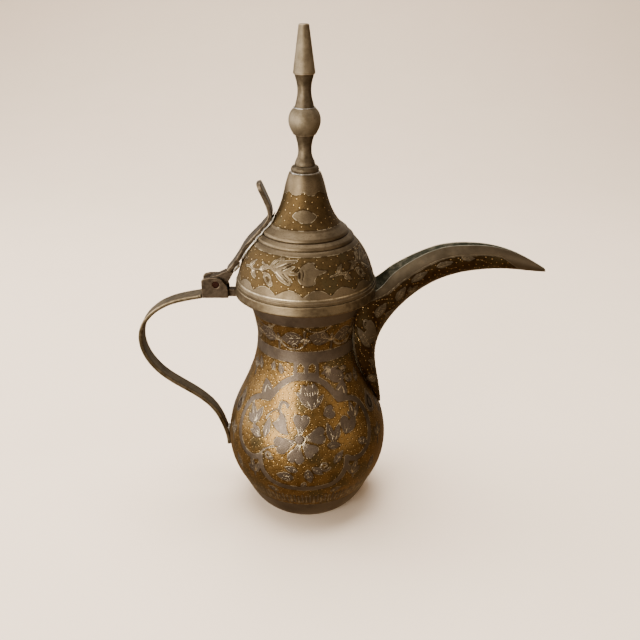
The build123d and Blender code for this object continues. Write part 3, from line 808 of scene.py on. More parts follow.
def belly_pattern(skin, at):
    skin.band(-2, at(11.6))
    for k in range(120):
        skin.stamp(Motif([], [(0, 0, 0, 5.8, 0.34, 0.28)], [(0, 0.3, 0.1, 5.2, 0.11, 0.05)]), 3.0 * k,
                   at(13.4 + 0.5 * math.sin(9.1 * k)))
    skin.band(at(75.2), at(78) + 2)
    window = np.array([(-1.5, -1.9), (1.4, -1.9), (1.5, 0.9), (0.1, 2.2), (-1.4, 0.9)])
    # each front has: motif, degrees from its middle, height, turn, size, flip
    placed = [(rosette(), -2.6, 46.2, 0, 1.0, 1), (broad_leaf(), -18.0, 50.8, 0, 1.0, 1),
              (tulip(), 7.2, 59.6, 8, 1.0, 1), (leaf(8.6, 3.0, 0), -30.0, 44.8, -4, 1.0, 1),
              (stem([(0, 0), (1.2, 2.6), (4.4, 5.2)], 0.3), -32.4, 51.6, 0, 1.0, 1),
              (sprout(), -42.0, 48.6, 6, 1.0, 1), (leaf(6.4, 2.9, 2), -33.0, 44.6, 84, 1.0, 1),
              (leaf(4.6, 2.4, 1), -35.0, 45.0, 48, 1.0, 1), (heart_leaf(), 17.0, 54.8, -74, 0.66, 1),
              (leaf(8.0, 3.1, 1), 22.0, 44.6, 10, 1.0, 1), (leaf(7.2, 3.0, 1), 23.6, 44.6, -24, 1.0, 1),
              (heart_leaf(), 33.0, 46.2, -30, 0.95, 1), (leaf(6.0, 3.2, 1), 17.5, 43.4, -98, 1.0, 1),
              (leaf(7.4, 4.2, 3), -6.5, 29.4, 84, 1.0, 1), (leaf(5.6, 2.8, 1), -3.6, 32.8, 74, 1.0, 1),
              (leaf(6.6, 3.6, 2), 3.0, 33.6, -168, 1.0, 1), (leaf(5.6, 3.0, 1), 6.4, 34.6, -130, 1.0, 1),
              (leaf(4.0, 2.2, 1), 1.4, 27.4, 160, 1.0, 1), (curl(1.9, 1.1, 0.55), -22.2, 37.4, 150, 1.0, -1),
              (stem([(-8.2, -2.6), (-5.0, -0.6), (-1.5, 0), (0, 0.2)], 0.4), -20.0, 42.6, 20, 1.0, 1),
              (curl(2.4, 1.2, 0.5), 18.5, 33.6, 150, 1.0, -1), (leaf(6.2, 3.0, 2), 22.0, 35.4, -40, 1.0, 1),
              (leaf(6.0, 3.0, 2), 43.0, 42.0, -120, 1.0, 1), (sprout(), 45.0, 50.8, -20, 0.8, 1),
              # between and around the lobes
              (cusp_leaf(), -36.5, 59.6, 20, 1.0, 1), (cusp_leaf(), 36.5, 59.6, -20, 1.0, -1),
              (sprout(), -36.5, 27.6, -8, 0.85, 1), (sprout(), 36.5, 27.6, 8, 0.85, -1),
              (leaf(4.4, 2.6, 0), -24.0, 69.8, 20, 1.0, 1), (leaf(3.6, 2.2, 0), -36.5, 70.4, -8, 1.0, 1),
              (leaf(5.4, 2.8, 1), -54.0, 68.6, 24, 1.0, 1), (spray(3, 4.6), -66.0, 67.6, 10, 1.0, 1),
              (leaf(10.0, 5.4, 1), 46.0, 66.6, 66, 1.0, 1), (curl(2.0, 1.5, 0.5), 56.0, 66.6, 200, 1.0, -1),
              (curl(1.5, 1.2, 0.4), 50.0, 70.2, 20, 1.0, 1), (leaf(6.0, 3.2, 2), 62.0, 62.6, -12, 1.0, 1),
              (spray(3, 4.4), 30.0, 71.2, 100, 1.0, 1), (leaf(7.6, 4.0, 2), -68.0, 50.6, 14, 1.0, 1),
              (teardrop(), 68.0, 48.4, -8, 1.0, 1), (teardrop(), -70.0, 47.0, 8, 0.8, -1),
              (spray(3, 5.6), -66.0, 38.0, 16, 1.0, 1),
              (spray(3, 5.6), 66.0, 38.0, -16, 1.0, 1), (leaf(7.0, 3.8, 2), -52.0, 24.8, 20, 1.0, 1),
              (leaf(7.0, 3.8, 2), 53.0, 24.8, -20, 1.0, 1), (leaf(5.0, 2.8, 1), -19.0, 20.6, 70, 1.0, 1),
              (leaf(5.0, 2.8, 1), 20.0, 20.6, -70, 1.0, 1), (spray(3, 5.4), 90.0, 29.0, 0, 1.0, 1),
              (rosette(SIX_PETALS), 90.0, 48.0, 10, 0.62, 1), (leaf(7.0, 3.6, 2), 90.0, 60.0, 0, 1.0, 1),
              (leaf(7.0, 3.6, 2), -76.0, 24.0, 12, 1.0, 1), (leaf(7.0, 3.6, 2), 76.0, 24.0, -12, 1.0, 1)]
    for front in (-2.0, 178.0):
        for lobe in (TOP_LOBE, SIDE_LOBE, LOW_LOBE):
            line = spline([(a, at(z)) for a, z in lobe], 24)
            for flip in (-1, 1):
                skin.ribbon(line, 1.12, front, flip)
        skin.stamp(Motif([np.array([(-5.2, -5), (5.2, -5), (4.8, 5), (-4.8, 5)])]), front + 2.6, at(73.6))
        for motif, aside, z, turn, size, flip in placed:
            skin.stamp(motif, front + aside, at(z), turn, size, flip)
        for side in (-2.3, 2.3):
            skin.open_window(window + (side, 0), front + 2.6, at(73.0))


def neck_pattern(skin, at):
    skin.band(-2, at(80.0))
    skin.band(at(91.4), at(98.5) + 9)
    for k in range(12):
        a = 30 * k - 17.0
        skin.stamp(leaf(9.0, 6.2, 3, 0.5), a + 13.5, at(86.4 - 1.6 * (k % 2)), 74 if k % 2 else 98)
        skin.stamp(spray(3, 3.6, 50), a - 13.5, at(84.0 + 2.2 * (k % 2)), 180 if k % 2 else 0)
        skin.stamp(curl(1.3, 1.0, 0.32), a + 8, at(82.6 + 5.6 * (k % 2)), 60 * k)
        sweep = spline([(-4.6, 1.6), (-1.6, -0.6), (2.0, -0.9), (5.0, 0.9)], 12, even=False)
        skin.stamp(Motif([], line_strokes(sweep, 0.3, 0.2), line_strokes(sweep, 0.13, 0.06)), a + 2.0,
                   at(82.0 + 7.8 * (k % 2)), 0, 1.0, 1 - 2 * (k % 2))


def branch():
    """Two pairs of pointed leaves on a stem that ends in an open three-pointed flower on the right."""
    upper = spline([(-10.2, 1.6), (-8.4, 4.2), (-5.4, 5.7), (-0.3, 6.1), (-3.4, 4.2), (-6.6, 1.8)], 30, even=False)
    lower = spline([(-10.2, 1.4), (-8.6, -0.9), (-6.0, -2.9), (-2.5, -3.7), (-4.2, -1.2), (-6.2, 0.8)], 30,
                   even=False)
    small = [mirrored([(0, 0), (0.75, 1.6), (0.7, 3.2), (0, 5.4)]).dot(turn) for turn in
             (np.array([[0.45, 0.89], [-0.89, 0.45]]).T, np.array([[-0.62, 0.79], [-0.79, -0.62]]).T)]
    flower = np.concatenate([
        spline([(0.2, 0.2), (0.9, 2.9), (3.2, 5.0), (6.6, 4.9)], 16, even=False),
        spline([(6.6, 4.9), (6.4, 3.4), (8.2, 2.3), (12.0, 1.5)], 14, even=False)[1:],
        spline([(12.0, 1.5), (8.8, 0.4), (7.0, -1.0), (7.2, -3.0)], 14, even=False)[1:],
        spline([(7.2, -3.0), (4.8, -4.0), (2.0, -3.4), (0.2, -0.4)], 14, even=False)[1:]])
    fills = [upper, lower] + [leaf_line + where for leaf_line, where in
                              zip(small, ((-6.0, 1.3), (-6.2, 0.7)))] + [flower]
    stems = line_strokes([(-16.0, 3.2), (-12.8, 2.2), (-9.8, 1.4), (-5.6, 1.0), (0.6, 0.8)], 0.32, 0.6)
    gaps = [(-8.4, 2.6, -3.0, 4.9, 0.05, 0.2), (-6.4, 1.9, -2.2, 4.2, 0.2, 0.06), (-7.6, 0.2, -3.6, -2.7, 0.05, 0.22),
            (-6.0, 0.4, -3.2, -2.0, 0.2, 0.06), (0.9, 1.2, 0.9, -0.6, 0.42, 0.42), (-1.9, 2.2, -0.6, 3.6, 0.16, 0.05),
            (-1.0, 1.9, 0.2, 3.4, 0.17, 0.05), (-0.2, 1.6, 1.0, 3.0, 0.17, 0.05), (-1.4, -0.4, -0.6, -1.6, 0.16, 0.05),
            (2.1, 2.4, 2.5, 0.6, 0.10, 0.12), (2.5, 0.6, 2.1, -1.6, 0.12, 0.05)]
    cuts = [(-9.0, 2.3, -4.4, 5.0, 0.3, 0.08), (-8.9, 0.6, -5.0, -2.6, 0.34, 0.08), (-6.0, 1.6, -3.4, 3.0, 0.2, 0.05),
            (-5.6, 0.2, -3.7, -1.7, 0.2, 0.05)]
    return Motif(fills, stems, cuts, gaps)


def twig():
    """A thin stem with three small leaves."""
    whole = Motif([], line_strokes([(0, 0.2), (3.0, 0.9), (6.0, 0.5), (9.6, 1.4)], 0.3, 0.22))
    for x, y, turn, length in ((3.0, 0.8, -36, 4.6), (5.4, 0.6, -128, 5.0), (9.2, 1.3, -64, 4.8)):
        whole += leaf(length, 0.42 * length, 1).placed(x, y, turn)
    return whole


def drawn_leaf():
    """A leaf drawn only in two pairs of lines."""
    half = spline([(0, 0), (1.1, 1.8), (1.2, 3.8), (0, 6.2)], 14, even=False)
    inner = half * (0.5, 0.8) + (0, 0.6)
    stems = line_strokes(half, 0.26, 0.2) + line_strokes(half * (-1, 1), 0.26, 0.2)
    stems += line_strokes(inner, 0.18, 0.15) + line_strokes(inner * (-1, 1), 0.18, 0.15)
    return Motif([], stems)


def lid_pattern(skin, at):
    arch = np.abs(np.sin(np.radians((skin.angle + 1.2) * 180 / 22.5)))
    skin.add(at(106.0) + 2.6 * arch - skin.up)
    skin.line(at(104.7), 0.13)
    skin.line(at(105.3), 0.07)
    skin.band(at(119.7), at(127.6))
    for k in range(4):
        a = 90 * k
        skin.stamp(branch(), a - 6.2, at(113.7), size=0.95)
        skin.stamp(twig(), a + 23.0, at(112.6))
        skin.stamp(drawn_leaf(), a - 33.0, at(115.4), -44)
        skin.stamp(drawn_leaf(), a - 38.0, at(113.4), -136)
    for a in (-3.0, 177.0):
        skin.stamp(eye(), a + 28.0, at(132.3), 90)
    lobe = np.abs(np.sin(np.radians((skin.angle + 3) * 180 / 45)))
    skin.add(skin.up - at(141.2) + 1.5 * lobe)


def spout_pattern(skin):
    """Along the spout x runs from the root to the tip; up is minus the distance below the rim."""
    border = np.interp(skin.angle, (0, 36, 47, 60, 82, 94, 101), (0.4, 0.8, 3.6, 5.2, 4.4, 4.0, 8.5))
    skin.add(border + skin.up)
    skin.cut = np.maximum(skin.cut, 0.11 - np.abs(border + skin.up - 0.55))
    for x, y, motif, turn in ((14, -7.5, leaf(7.5, 3.8), 20), (21, -10.5, spray(3, 5.2), 30),
                              (28, -8.6, leaf(8.2, 4.2), -40), (33, -13.5, heart_leaf(), -10),
                              (40, -10.5, leaf(7.6, 3.6), -62), (46, -13.0, curl(2.2, 1.2, 0.5), 30),
                              (50, -9.0, leaf(7.2, 3.4), -76), (56, -11.5, spray(3, 4.4), -80),
                              (60, -7.6, leaf(6.6, 3.0, 3), -84), (70, -7.0, leaf(6.0, 2.6, 3), -86),
                              (79, -5.6, leaf(5.0, 2.2, 2), -88), (37, -6.6, curl(1.5, 1.0, 0.4), 0)):
        skin.stamp(motif, x, y, turn)


def build_belly():
    inner = inset(spline(BELLY, 60), SHEET)[::5][::-1]
    return decorated_lathe("belly", spline(BELLY, 168), inner, 540, belly_pattern, "pot", "belly_shell",
                           engraved)


HOLES = [(0.0, 89.0)] + [(4.4 * math.cos(math.radians(60 * k)), 89.0 + 4.4 * math.sin(math.radians(60 * k)))
                         for k in range(6)]


def pour_holes(points, n, cols):
    """Opens the holes behind the spout through the outer rows and the matching inner rows."""
    faces = grid_faces(len(points), cols, True, True)
    rows = len(points)
    outer = points[:n]
    y, z, ahead = outer[..., 1], outer[..., 2], outer[..., 0] > 5
    gap = np.full(y.shape, 9.0)
    for across, up in HOLES:
        gap = np.where(ahead, np.minimum(gap, np.hypot(y - across, z - up) - 1.3), gap)
    centre = (gap[:-1] + gap[1:]) / 2
    centre = (centre + np.roll(centre, -1, 1)) / 2
    cut = centre < 0
    keep = np.ones((rows, cols), bool)
    keep[:n - 1] &= ~cut
    inner_top = n + 2
    for i in range(n - 1):
        keep[inner_top + n - 2 - i] &= ~cut[i]
    grid = np.array(faces).reshape(rows, cols, 4)
    kept = grid[keep].tolist()
    touches = np.zeros((n, cols), int)
    for di in (0, 1):
        for dj in (0, 1):
            touches[di:n - 1 + di] += np.roll(cut, dj, 1)
    rim = (touches > 0) & (touches < 4)
    for i, j in np.argwhere(rim):
        for row in (i, inner_top + n - 1 - i):
            p = points[row, j]
            across, up = min(HOLES, key=lambda h: math.hypot(p[1] - h[0], p[2] - h[1]))
            d = math.hypot(p[1] - across, p[2] - up)
            p[1], p[2] = across + (p[1] - across) * 1.3 / d, up + (p[2] - up) * 1.3 / d
    for i, j in np.argwhere(cut):
        for (a, b), (ni, nj) in ((((i, j), (i, j + 1)), (i - 1, j)), (((i + 1, j + 1), (i + 1, j)), (i + 1, j)),
                                 (((i + 1, j), (i, j)), (i, j - 1)), (((i, j + 1), (i + 1, j + 1)), (i, j + 1))):
            if not cut[ni, nj % cols]:
                mates = [(inner_top + n - 1 - r, c % cols) for r, c in (b, a)]
                kept.append([(r * cols + c % cols) for r, c in (a, b, *mates)])
    return points, kept


def build_neck():
    outer = spline(NECK, 60)
    inner = inset(outer, SHEET)[::-1]
    rest = np.concatenate([[(24.0, 101.3), (23.1, 101.3)], inner,
                           [(18.63, 78.2), (18.63, 74.6), (19.5, 74.6), (19.5, 77.8)]])
    return decorated_lathe("neck", outer, rest, 460, neck_pattern, "pot", "neck_shell", engraved,
                           after=pour_holes)


def build_lid():
    flange = refined([(28.3, 102.66), (28.3, 103.75), (28.2, 103.95), (28.0, 104.0)], 0.3, closed=False)
    rings = refined(filleted([DOME[-1]] + RINGS + [CONE[0]], 0.25, closed=False, steps=3), 0.24, closed=False)
    outer = np.concatenate([flange[:-1], spline(DOME, 46)[:-1], rings[:-1], spline(CONE, 56)])
    cone_in, dome_in = inset(np.array(CONE), SHEET), inset(np.array(DOME), SHEET)
    rest = np.concatenate([[(5.9, 147.0), (1.3, 147.0), (1.3, 146.1), (cone_in[-1][0], 146.1)],
                           cone_in[-2::-1], dome_in[::-1], [(26.45, 103.2), (26.4, 102.7), (26.6, 102.6),
                                                            (28.1, 102.6)]])
    return decorated_lathe("lid", outer, rest, 480, lid_pattern, "lid", "lid_shell", engraved_lid,
                           dent=0.08, spacing=2.5)


def spout_half(row, inner, count):
    """One side of a section, from the keel up to the rim or to the pot's wall."""
    kx, kz, rx, rz, half_rim, widest = row
    up = np.array((rx - kx, rz - kz))
    deep = np.linalg.norm(up)
    up = up / deep
    wall = min(0.8, 0.6 * half_rim) if inner else 0.0
    side = [(half_rim - wall, deep), (widest - wall, 0.62 * deep),
            (0.74 * widest - 0.8 * wall, 0.22 * deep + 0.5 * wall)]
    whole = spline(side + [(0, wall)] + [(-a, b) for a, b in side[::-1]], 241, even=False)
    half = resample(whole, 241)[120::-1]
    x, z = kx + half[:, 1] * up[0], kz + half[:, 1] * up[1]
    line = np.stack([x, np.abs(half[:, 0]), z], 1)
    clear = np.hypot(line[:, 0], line[:, 1]) - (pot_radius(line[:, 2]) - 0.3)
    below = np.flatnonzero(clear < 0)
    if len(below):
        k = max(int(below[0]), 2)
        share = clear[k - 1] / (clear[k - 1] - clear[k] + 1e-9)
        line = np.concatenate([line[:k], [line[k - 1] + np.clip(share, 0, 1) * (line[k] - line[k - 1])]])
    return resample(line, count)


def build_spout():
    stations = np.array(SPOUT)
    keel = lengths(stations[:, :2])
    rows, half = 250, 50
    where = np.linspace(0, keel[-1], rows)
    sections = spline_at(keel, stations, where)
    loops, along, below = [], [], []
    for s, row in zip(where, sections):
        sides = []
        for inner in (False, True):
            right = spout_half(row, inner, half)
            sides.append(np.concatenate([(right * (1, -1, 1))[::-1], right[1:]]))
        loops.append(np.concatenate([sides[0], sides[1][::-1]]))
        d = lengths(sides[0])
        rim_gap = np.minimum(d, d[-1] - d) + max(0.0, math.hypot(row[2] - sides[0][0][0], row[3] - sides[0][0][2]))
        along.append(np.full(2 * half - 1, s))
        below.append(-rim_gap)
    loops = np.array(loops)
    cols = 2 * half - 1
    skin = Skin(np.concatenate(along), np.concatenate(below), np.ones(rows * cols), wraps=False)
    spout_pattern(skin)
    outer = loops[:, :cols]
    flat = outer.reshape(-1, 3)
    dots, depth = worked(skin, flat, 1.9)
    depth = depth - 0.05 * (1 + lumps(flat, 9.0, 6, 2)) - 0.02 * (1 + lumps(flat, 1.6, 5, 2))
    across = np.gradient(outer, axis=1)
    forward = np.gradient(outer, axis=0)
    normal = np.cross(forward, across)
    normal /= np.linalg.norm(normal, axis=2)[..., None] + 1e-9
    if (normal[rows // 2, cols // 2] * (0, 0, 1)).sum() > 0:
        normal = -normal
    fade = smooth(np.minimum(np.arange(cols), np.arange(cols)[::-1]) / 3.0, 0, 1)
    loops[:, :cols] += normal * (depth.reshape(rows, cols) * fade)[..., None]
    inner_pts = loops[:, cols:].reshape(-1, 3)
    loops[:, cols:] += (0.05 * lumps(inner_pts, 2.2, 9)).reshape(rows, cols)[..., None] * (0, 0, 0.4)
    loop = 2 * cols
    faces = grid_faces(rows, loop, False, True)
    for base in (0, (rows - 1) * loop):
        faces += [[base + j, base + j + 1, base + loop - 2 - j, base + loop - 1 - j] for j in range(cols - 1)]

    def spread(values, other):
        values = values.reshape(rows, cols, -1)
        full = np.concatenate([values, np.full(values.shape, other)], 1)
        return full.reshape(rows * loop, -1).squeeze()

    fields = {"tin": spread(skin.tin, 9.0), "cut": spread(skin.cut, -9.0),
              "gap": spread(skin.gap, -9.0), "dots": spread(dots, 9.0),
              "inside": spread(np.zeros(rows * cols), 1.0)}
    obj = mesh_object("spout", loops.reshape(-1, 3), faces, fields)
    square_up(obj)
    edge_field(obj)
    return settle(obj, "pot", "spout_trough", engraved_spout), loops, cols


def square_up(obj):
    """Turns every face of a closed mesh outwards and keeps its corners sharp."""
    work = bmesh.new()
    work.from_mesh(obj.data)
    bmesh.ops.recalc_face_normals(work, faces=work.faces)
    for edge in work.edges:
        edge.smooth = edge.calc_face_angle(0.0) < SHARP
    work.to_mesh(obj.data)
    work.free()


def strip_piece(name, line, half_width, thickness, core, body, node, material, rows, seed, beaten=0.12):
    """A bent strip with rounded edges, beaten a little, lying on a core where it would cut into it."""
    path = spline(line, rows)
    forward = np.gradient(path, axis=0)
    forward /= np.linalg.norm(forward, axis=1)[:, None]
    out = np.stack([-forward[:, 1], forward[:, 0]], 1)
    loops, inner = [], []
    caps = [(0, 0.02), (0, 0.55), (0, 0.88)] + [(k, 1.0) for k in range(1, rows - 1)]
    caps += [(rows - 1, 0.88), (rows - 1, 0.55), (rows - 1, 0.02)]
    for k, shrink in caps:
        w = half_width(path[k, 1]) * shrink
        t = thickness / 2 * shrink
        section = refined(filleted([(-w, -t), (w, -t), (w, t), (-w, t)], 0.42, steps=4), 0.45)
        section = resample(np.concatenate([section, section[:1]]), 61)[:-1]
        x = path[k, 0] + section[:, 1] * out[k, 0]
        z = path[k, 1] + section[:, 1] * out[k, 1]
        loops.append(np.stack([x, section[:, 0], z], 1))
        inner.append(section[:, 1] / (thickness / 2))
    points = np.array(loops)
    flat = points.reshape(-1, 3)
    middle = np.array([np.stack([path[k, 0], 0, path[k, 1]]) for k, _ in caps])
    toward = points - middle[:, None]
    toward[..., 1] *= 0.25
    toward /= np.linalg.norm(toward, axis=2)[..., None] + 1e-6
    knock = beaten * (0.5 + 0.5 * lumps(flat * (1, 0.6, 1), 3.6, seed, 2))
    knock = knock + 0.03 * (1 + lumps(flat, 1.1, seed + 1))
    points = points - toward * knock.reshape(points.shape[:2])[..., None]
    r = np.hypot(points[..., 0], points[..., 1])
    surface = core(points[..., 2])
    push = np.where(r < surface, (surface - 0.04) / np.maximum(r, 1), 1.0)
    points[..., :2] *= push[..., None]
    count = points.shape[1]
    faces = grid_faces(len(points), count, False, True)
    faces += [list(range(count)), list(range((len(points) - 1) * count, len(points) * count))]
    obj = mesh_object(name, points.reshape(-1, 3), faces,
                      {"inside": np.clip(np.array(inner).ravel() - 0.4, 0, 1)})
    square_up(obj)
    edge_field(obj)
    return settle(obj, body, node, material)


def softened(name, node, body, material, voxel, rounds, rough, seed):
    """A worn copy of a CAD piece: its edges rubbed down and its faces uneven."""
    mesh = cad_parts[node].data.copy()
    obj = bpy.data.objects.new(name, mesh)
    bpy.context.scene.collection.objects.link(obj)
    weld = obj.modifiers.new("weld", "WELD")
    weld.merge_threshold = 1e-6
    remesh = obj.modifiers.new("remesh", "REMESH")
    remesh.mode = "VOXEL"
    remesh.voxel_size = voxel * MM
    rub = obj.modifiers.new("rub", "SMOOTH")
    rub.iterations = rounds
    bpy.context.view_layer.update()
    made = bpy.data.meshes.new_from_object(obj.evaluated_get(bpy.context.evaluated_depsgraph_get()))
    obj.modifiers.clear()
    obj.data = made
    made.materials.clear()
    co = np.zeros(len(made.vertices) * 3)
    made.vertices.foreach_get("co", co)
    co = co.reshape(-1, 3) / MM
    normal = np.zeros(len(made.vertices) * 3)
    made.vertex_normals.foreach_get("vector", normal)
    knock = -rough * (1 + lumps(co, 1.4, seed)) - 0.4 * rough * (1 + lumps(co, 0.5, seed + 1))
    co += normal.reshape(-1, 3) * knock[:, None]
    made.vertices.foreach_set("co", (co * MM).ravel())
    made.polygons.foreach_set("use_smooth", [True] * len(made.polygons))
    edge_field(obj)
    return settle(obj, body, node, material)


def bead(name, centres, radius, body, material, seed, closed=False, squash=1.0):
    """A lumpy run of solder along a line of points."""
    p = np.array(centres, float)
    n = len(p)
    forward = np.roll(p, -1, 0) - np.roll(p, 1, 0) if closed else np.gradient(p, axis=0)
    forward /= np.linalg.norm(forward, axis=1)[:, None] + 1e-9
    side = np.cross(forward, (0.0, 0.0, 1.0) if closed else (0.3, 1.0, 0.2))
    side /= np.linalg.norm(side, axis=1)[:, None] + 1e-9
    up = np.cross(side, forward)
    t = np.linspace(0, 2 * math.pi, 15)[:-1]
    swell = 1 + 0.42 * lumps(p, 2.6, seed)
    if not closed:
        ends = np.minimum(np.arange(n), np.arange(n)[::-1]) / 4.0
        swell = swell * np.sqrt(np.clip(ends, 0.02, 1))
    ring = np.cos(t)[None, :, None] * side[:, None] + squash * np.sin(t)[None, :, None] * up[:, None]
    rad = (np.array(radius) * swell)[:, None, None]
    points = p[:, None] + ring * rad
    flat = points.reshape(-1, 3)
    points = points + ring * (0.12 * lumps(flat, 0.9, seed + 2)).reshape(n, -1)[..., None]
    faces = grid_faces(n, len(t), closed, True)
    if not closed:
        faces += [list(range(len(t))), list(range((n - 1) * len(t), n * len(t)))]
    obj = mesh_object(name, points.reshape(-1, 3), faces)
    square_up(obj)
    edge_field(obj)
    obj.data.materials.append(material)
    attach(obj, body)
    return obj


# ---------------------------------------------------------------- the pot
build_belly()
build_neck()
build_lid()
spout, spout_loops, spout_cols = build_spout()

turned_piece("base", filleted([(0.02, 0), (19.5, 0), (19.5, 0.9), (0.02, 0.9)], [0, 0.15, 0.15, 0]), 200,
             "pot", "base_plate", aged, gap=0.8)
turned_piece("collar", filleted([(24.02, 98.5), (29.1, 98.5), (28.5, 102.5), (22.9, 102.5), (22.9, 101.32),
                                 (24.02, 101.32)], [0, 0.7, 0.5, 0.3, 0, 0]), 420, "pot", "mouth_collar", aged,
             gap=0.4, wear=0.07)
turned_piece("bezel", filleted([(21.5, 98.6), (22.4, 98.6), (22.4, 102.6), (26.38, 102.6), (26.38, 103.5),
                                (21.5, 103.5)], 0.2), 240, "lid", "lid_bezel", aged, gap=0.6)


def finial_piece(name, side, node, metal=spindle_metal, rounding=0.0, smooth_side=True, wear=0.03):
    side_line = spline(side, 40) if smooth_side else filleted(side, rounding, closed=False)
    outline = np.concatenate([[(1.3, side_line[0][1])], side_line, [(1.3, side_line[-1][1])]])
    outline = filleted(outline, [0, 0.12] + [0] * (len(side_line) - 2) + [0.12, 0], steps=3)
    return turned_piece(name, outline, 150, "lid", node, metal, gap=0.16, wear=wear,
                        tool_marks=0.02)


finial_piece("finial_foot", [(4.6, 147), (5.3, 147.5), (5.45, 148.35), (5.0, 149.3), (4.1, 149.7)],
             "finial_foot_ring")
finial_piece("finial_stem_low", [(3.9, 149.7), (3.85, 150.8), (3.1, 152.6), (2.6, 155.4), (2.9, 158.3),
                                 (3.75, 161.2)], "finial_lower_spindle")
finial_piece("finial_knop", [(4.15, 161.2), (5.3, 163.2), (6.1, 166.3), (5.5, 169.2), (4.05, 171.0)],
             "finial_ball", finial_metal)
finial_piece("finial_stem_high", [(3.8, 171.0), (3.1, 173.6), (2.6, 177.2), (2.9, 180.0), (3.75, 183.0)],
             "finial_upper_spindle")
tip_side = [(4.05, 183.0), (4.1, 183.7), (1.95, 199.75), (1.6, 200.0)]
tip_outline = [(0.02, 183.0)] + tip_side + [(0.02, 200.0)]
turned_piece("finial_point", filleted(tip_outline, [0, 0.15, 0.2, 0.3, 0.3, 0], steps=3), 150, "lid",
             "finial_tip", finial_metal, gap=0.2, wear=0.03, tool_marks=0.02)
for node in ("finial_rod", "finial_washer"):
    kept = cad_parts[node]
    kept.data.materials.clear()
    kept.data.materials.append(aged)

STRAP_TOP_Z, STRAP_FOOT_Z = 82.5, 22.8
strip_piece("strap", HANDLE_LINE, lambda z: 2.3 + 1.5 * min(1.0, max(0.0, (z - STRAP_FOOT_Z)
                                                                   / (STRAP_TOP_Z - STRAP_FOOT_Z))),
            1.7, pot_radius, "pot", "handle_strap", strap_metal, 330, 4, beaten=0.07)
TAB_RADIUS, TAB_CENTRE_Z = LEVER_EDGE[-1]
lever_edge = spline(LEVER_EDGE, 200)


def lever_half_width(z):
    if z < TAB_CENTRE_Z:
        return float(np.interp(z, lever_edge[:, 1], lever_edge[:, 0]))
    return math.sqrt(max(0.5, TAB_RADIUS ** 2 - (z - TAB_CENTRE_Z) ** 2))


strip_piece("lever", LEVER_LINE, lever_half_width, 1.9, lid_radius, "lid", "thumb_lever", lever_metal, 130, 8,
            beaten=0.09)
softened("hinge_block", "hinge_bracket", "pot", block_metal, 0.17, 5, 0.035, 3)
softened("hinge_barrel", "hinge_knuckle", "lid", block_metal, 0.15, 4, 0.03, 5)
softened("pin", "hinge_pin", "pot", rust, 0.12, 4, 0.03, 6)
softened("strap_solder", "handle_solder", "pot", solder_metal, 0.12, 8, 0.05, 7)
softened("lever_seam", "lever_solder", "lid", solder_metal, 0.12, 6, 0.04, 9)


# ---------------------------------------------------------------- solder
def ring_line(radius, z, count):
    t = np.linspace(0, 2 * math.pi, count + 1)[:-1]
    return np.stack([radius * np.cos(t), radius * np.sin(t), np.full(count, z)], 1)


bead("foot_solder", ring_line(5.1, 147.1, 90), 0.46, "lid", solder_metal, 2, closed=True, squash=0.75)
bead("knop_solder", ring_line(3.95, 171.05, 80), 0.30, "lid", solder_metal, 4, closed=True, squash=0.7)
bead("lever_web_solder", [(-29.1 + 0.26 * k, -2.6, 107.2 + 0.38 * k) for k in range(12)], 0.95, "lid",
     solder_metal, 15)
lever_line = spline(LEVER_LINE, 200)
for side in (-1, 1):
    run = []
    for x, z in lever_line[(lever_line[:, 1] > 112.5) & (lever_line[:, 1] < 131.0)][::3]:
        half = lever_half_width(z) - 0.2
        wall = -math.sqrt(lid_radius(z) ** 2 - half ** 2)
        run.append((0.5 * (wall + min(x + 0.9, wall)), side * half, z))
    bead("lever_seam_near" if side < 0 else "lever_seam_far", run, 0.5, "lid", solder_metal, 11 + side)
for side, column in ((-1, spout_cols), (1, 2 * spout_cols - 1)):
    seam = spout_loops[8:108:2, column]
    bead("spout_seam_near" if seam[20, 1] < 0 else "spout_seam_far", seam, 0.62, "pot", verdigris, 6 + side)


# ---------------------------------------------------------------- studio
def floor_sweep():
    """A pale floor that curves up into a backdrop."""
    line = [(-1.6, 0.0), (0.5, 0.0)]
    line += [(0.5 + 0.9 * math.sin(t), 0.9 - 0.9 * math.cos(t)) for t in np.linspace(0.08, math.pi / 2, 24)]
    line.append((1.4, 3.0))
    verts = [(x, y, z) for y, z in line for x in (-3.0, 3.0)]
    faces = [(2 * k, 2 * k + 1, 2 * k + 3, 2 * k + 2) for k in range(len(line) - 1)]
    floor = mesh_object("floor", np.array(verts) / MM, faces)
    n = Nodes("floor_paper")
    tone = n.mix(n.noise(0.02, 3), (0.90, 0.77, 0.64), (0.94, 0.81, 0.68))
    floor.data.materials.append(n.finish(tone, 0.75, 0.0, n.noise(1.5, 3), 0.05))
    floor.visible_glossy = False


def area_light(name, place, target, size, power, colour):
    data = bpy.data.lights.new(name, "AREA")
    data.shape = "RECTANGLE"
    data.size, data.size_y = size
    data.energy = power
    data.color = colour
    obj = bpy.data.objects.new(name, data)
    bpy.context.scene.collection.objects.link(obj)
    obj.location = place
    obj.rotation_euler = (Vector(target) - Vector(place)).to_track_quat("-Z", "Y").to_euler()
    return obj


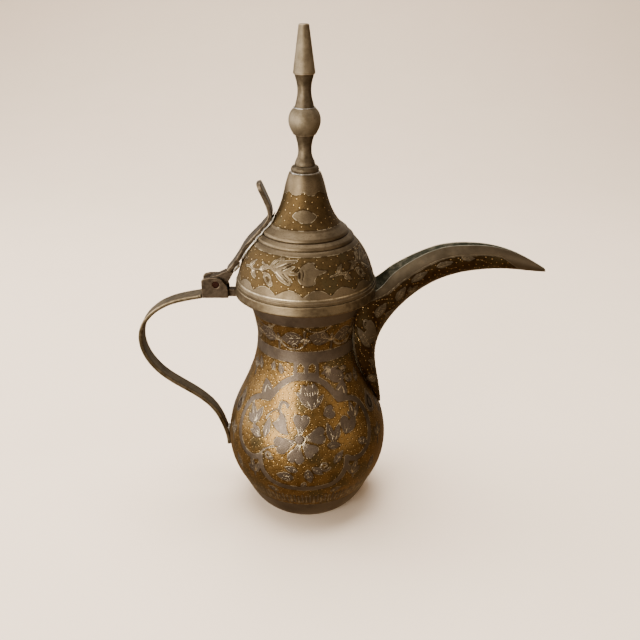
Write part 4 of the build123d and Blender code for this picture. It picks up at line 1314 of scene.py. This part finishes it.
def surround():
    """A dim warm room: light from the window at the left front and off the wall behind, dark low down."""
    world = bpy.data.worlds.new("studio")
    world.use_nodes = True
    nodes, links = world.node_tree.nodes, world.node_tree.links
    way = nodes.new("ShaderNodeTexCoord").outputs["Generated"]

    def tinted(direction, low, high, dark, light):
        toward = nodes.new("ShaderNodeVectorMath")
        toward.operation = "DOT_PRODUCT"
        toward.inputs[1].default_value = direction
        links.new(way, toward.inputs[0])
        shade = nodes.new("ShaderNodeMapRange")
        shade.inputs["From Min"].default_value = low
        shade.inputs["From Max"].default_value = high
        links.new(toward.outputs["Value"], shade.inputs["Value"])
        tone = nodes.new("ShaderNodeMix")
        tone.data_type = "RGBA"
        tone.inputs[6].default_value = (*dark, 1)
        tone.inputs[7].default_value = (*light, 1)
        links.new(shade.outputs["Result"], tone.inputs["Factor"])
        return tone

    room = tinted(WINDOW, -0.75, 0.85, ROOM_DARK, ROOM_LIGHT)
    whole = tinted(WALL, 0.45, 0.80, (0, 0, 0), WALL_LIGHT)
    links.new(room.outputs[2], whole.inputs[6])
    below = tinted((0, 0, -1), 0.25, 0.70, (0, 0, 0), TABLE)
    links.new(whole.outputs[2], below.inputs[6])
    background = nodes["Background"]
    links.new(below.outputs[2], background.inputs["Color"])
    background.inputs["Strength"].default_value = 0.75
    bpy.context.scene.world = world


WALL = (0.0, 0.86, 0.51)
WALL_LIGHT = (0.85, 0.74, 0.62)
WINDOW = (-0.62, -0.62, 0.48)
TABLE = (0.42, 0.26, 0.125)
ROOM_DARK = (0.215, 0.140, 0.070)
ROOM_LIGHT = (0.56, 0.43, 0.30)
floor_sweep()
MIDDLE = (0.0, 0.0, 0.08)
area_light("key", (-0.50, -0.63, 0.22), MIDDLE, (0.46, 0.42), 8.0, (1.0, 0.90, 0.76))
area_light("left", (-0.85, 0.10, 0.30), MIDDLE, (0.7, 0.6), 6.0, (1.0, 0.93, 0.84))
area_light("ceiling", (-0.15, 0.10, 1.0), MIDDLE, (0.8, 0.8), 5.0, (1.0, 0.92, 0.82))
area_light("right", (0.75, -0.55, 0.16), MIDDLE, (0.6, 0.4), 0.9, (1.0, 0.80, 0.60))
overhead = area_light("overhead", (-0.10, 0.15, 1.0), MIDDLE, (0.8, 0.8), 24.0, (1.0, 0.93, 0.84))
overhead.visible_glossy = False
surround()

camera = bpy.data.cameras.new("camera")
camera.sensor_width = 36.0
camera.lens = 42.19
view = bpy.data.objects.new("camera", camera)
bpy.context.scene.collection.objects.link(view)
view.location = (0.00573, -0.2851, 0.2141)
view.rotation_euler = (math.radians(65.59), 0.0, 0.0)
camera.clip_start = 0.01
bpy.context.scene.camera = view
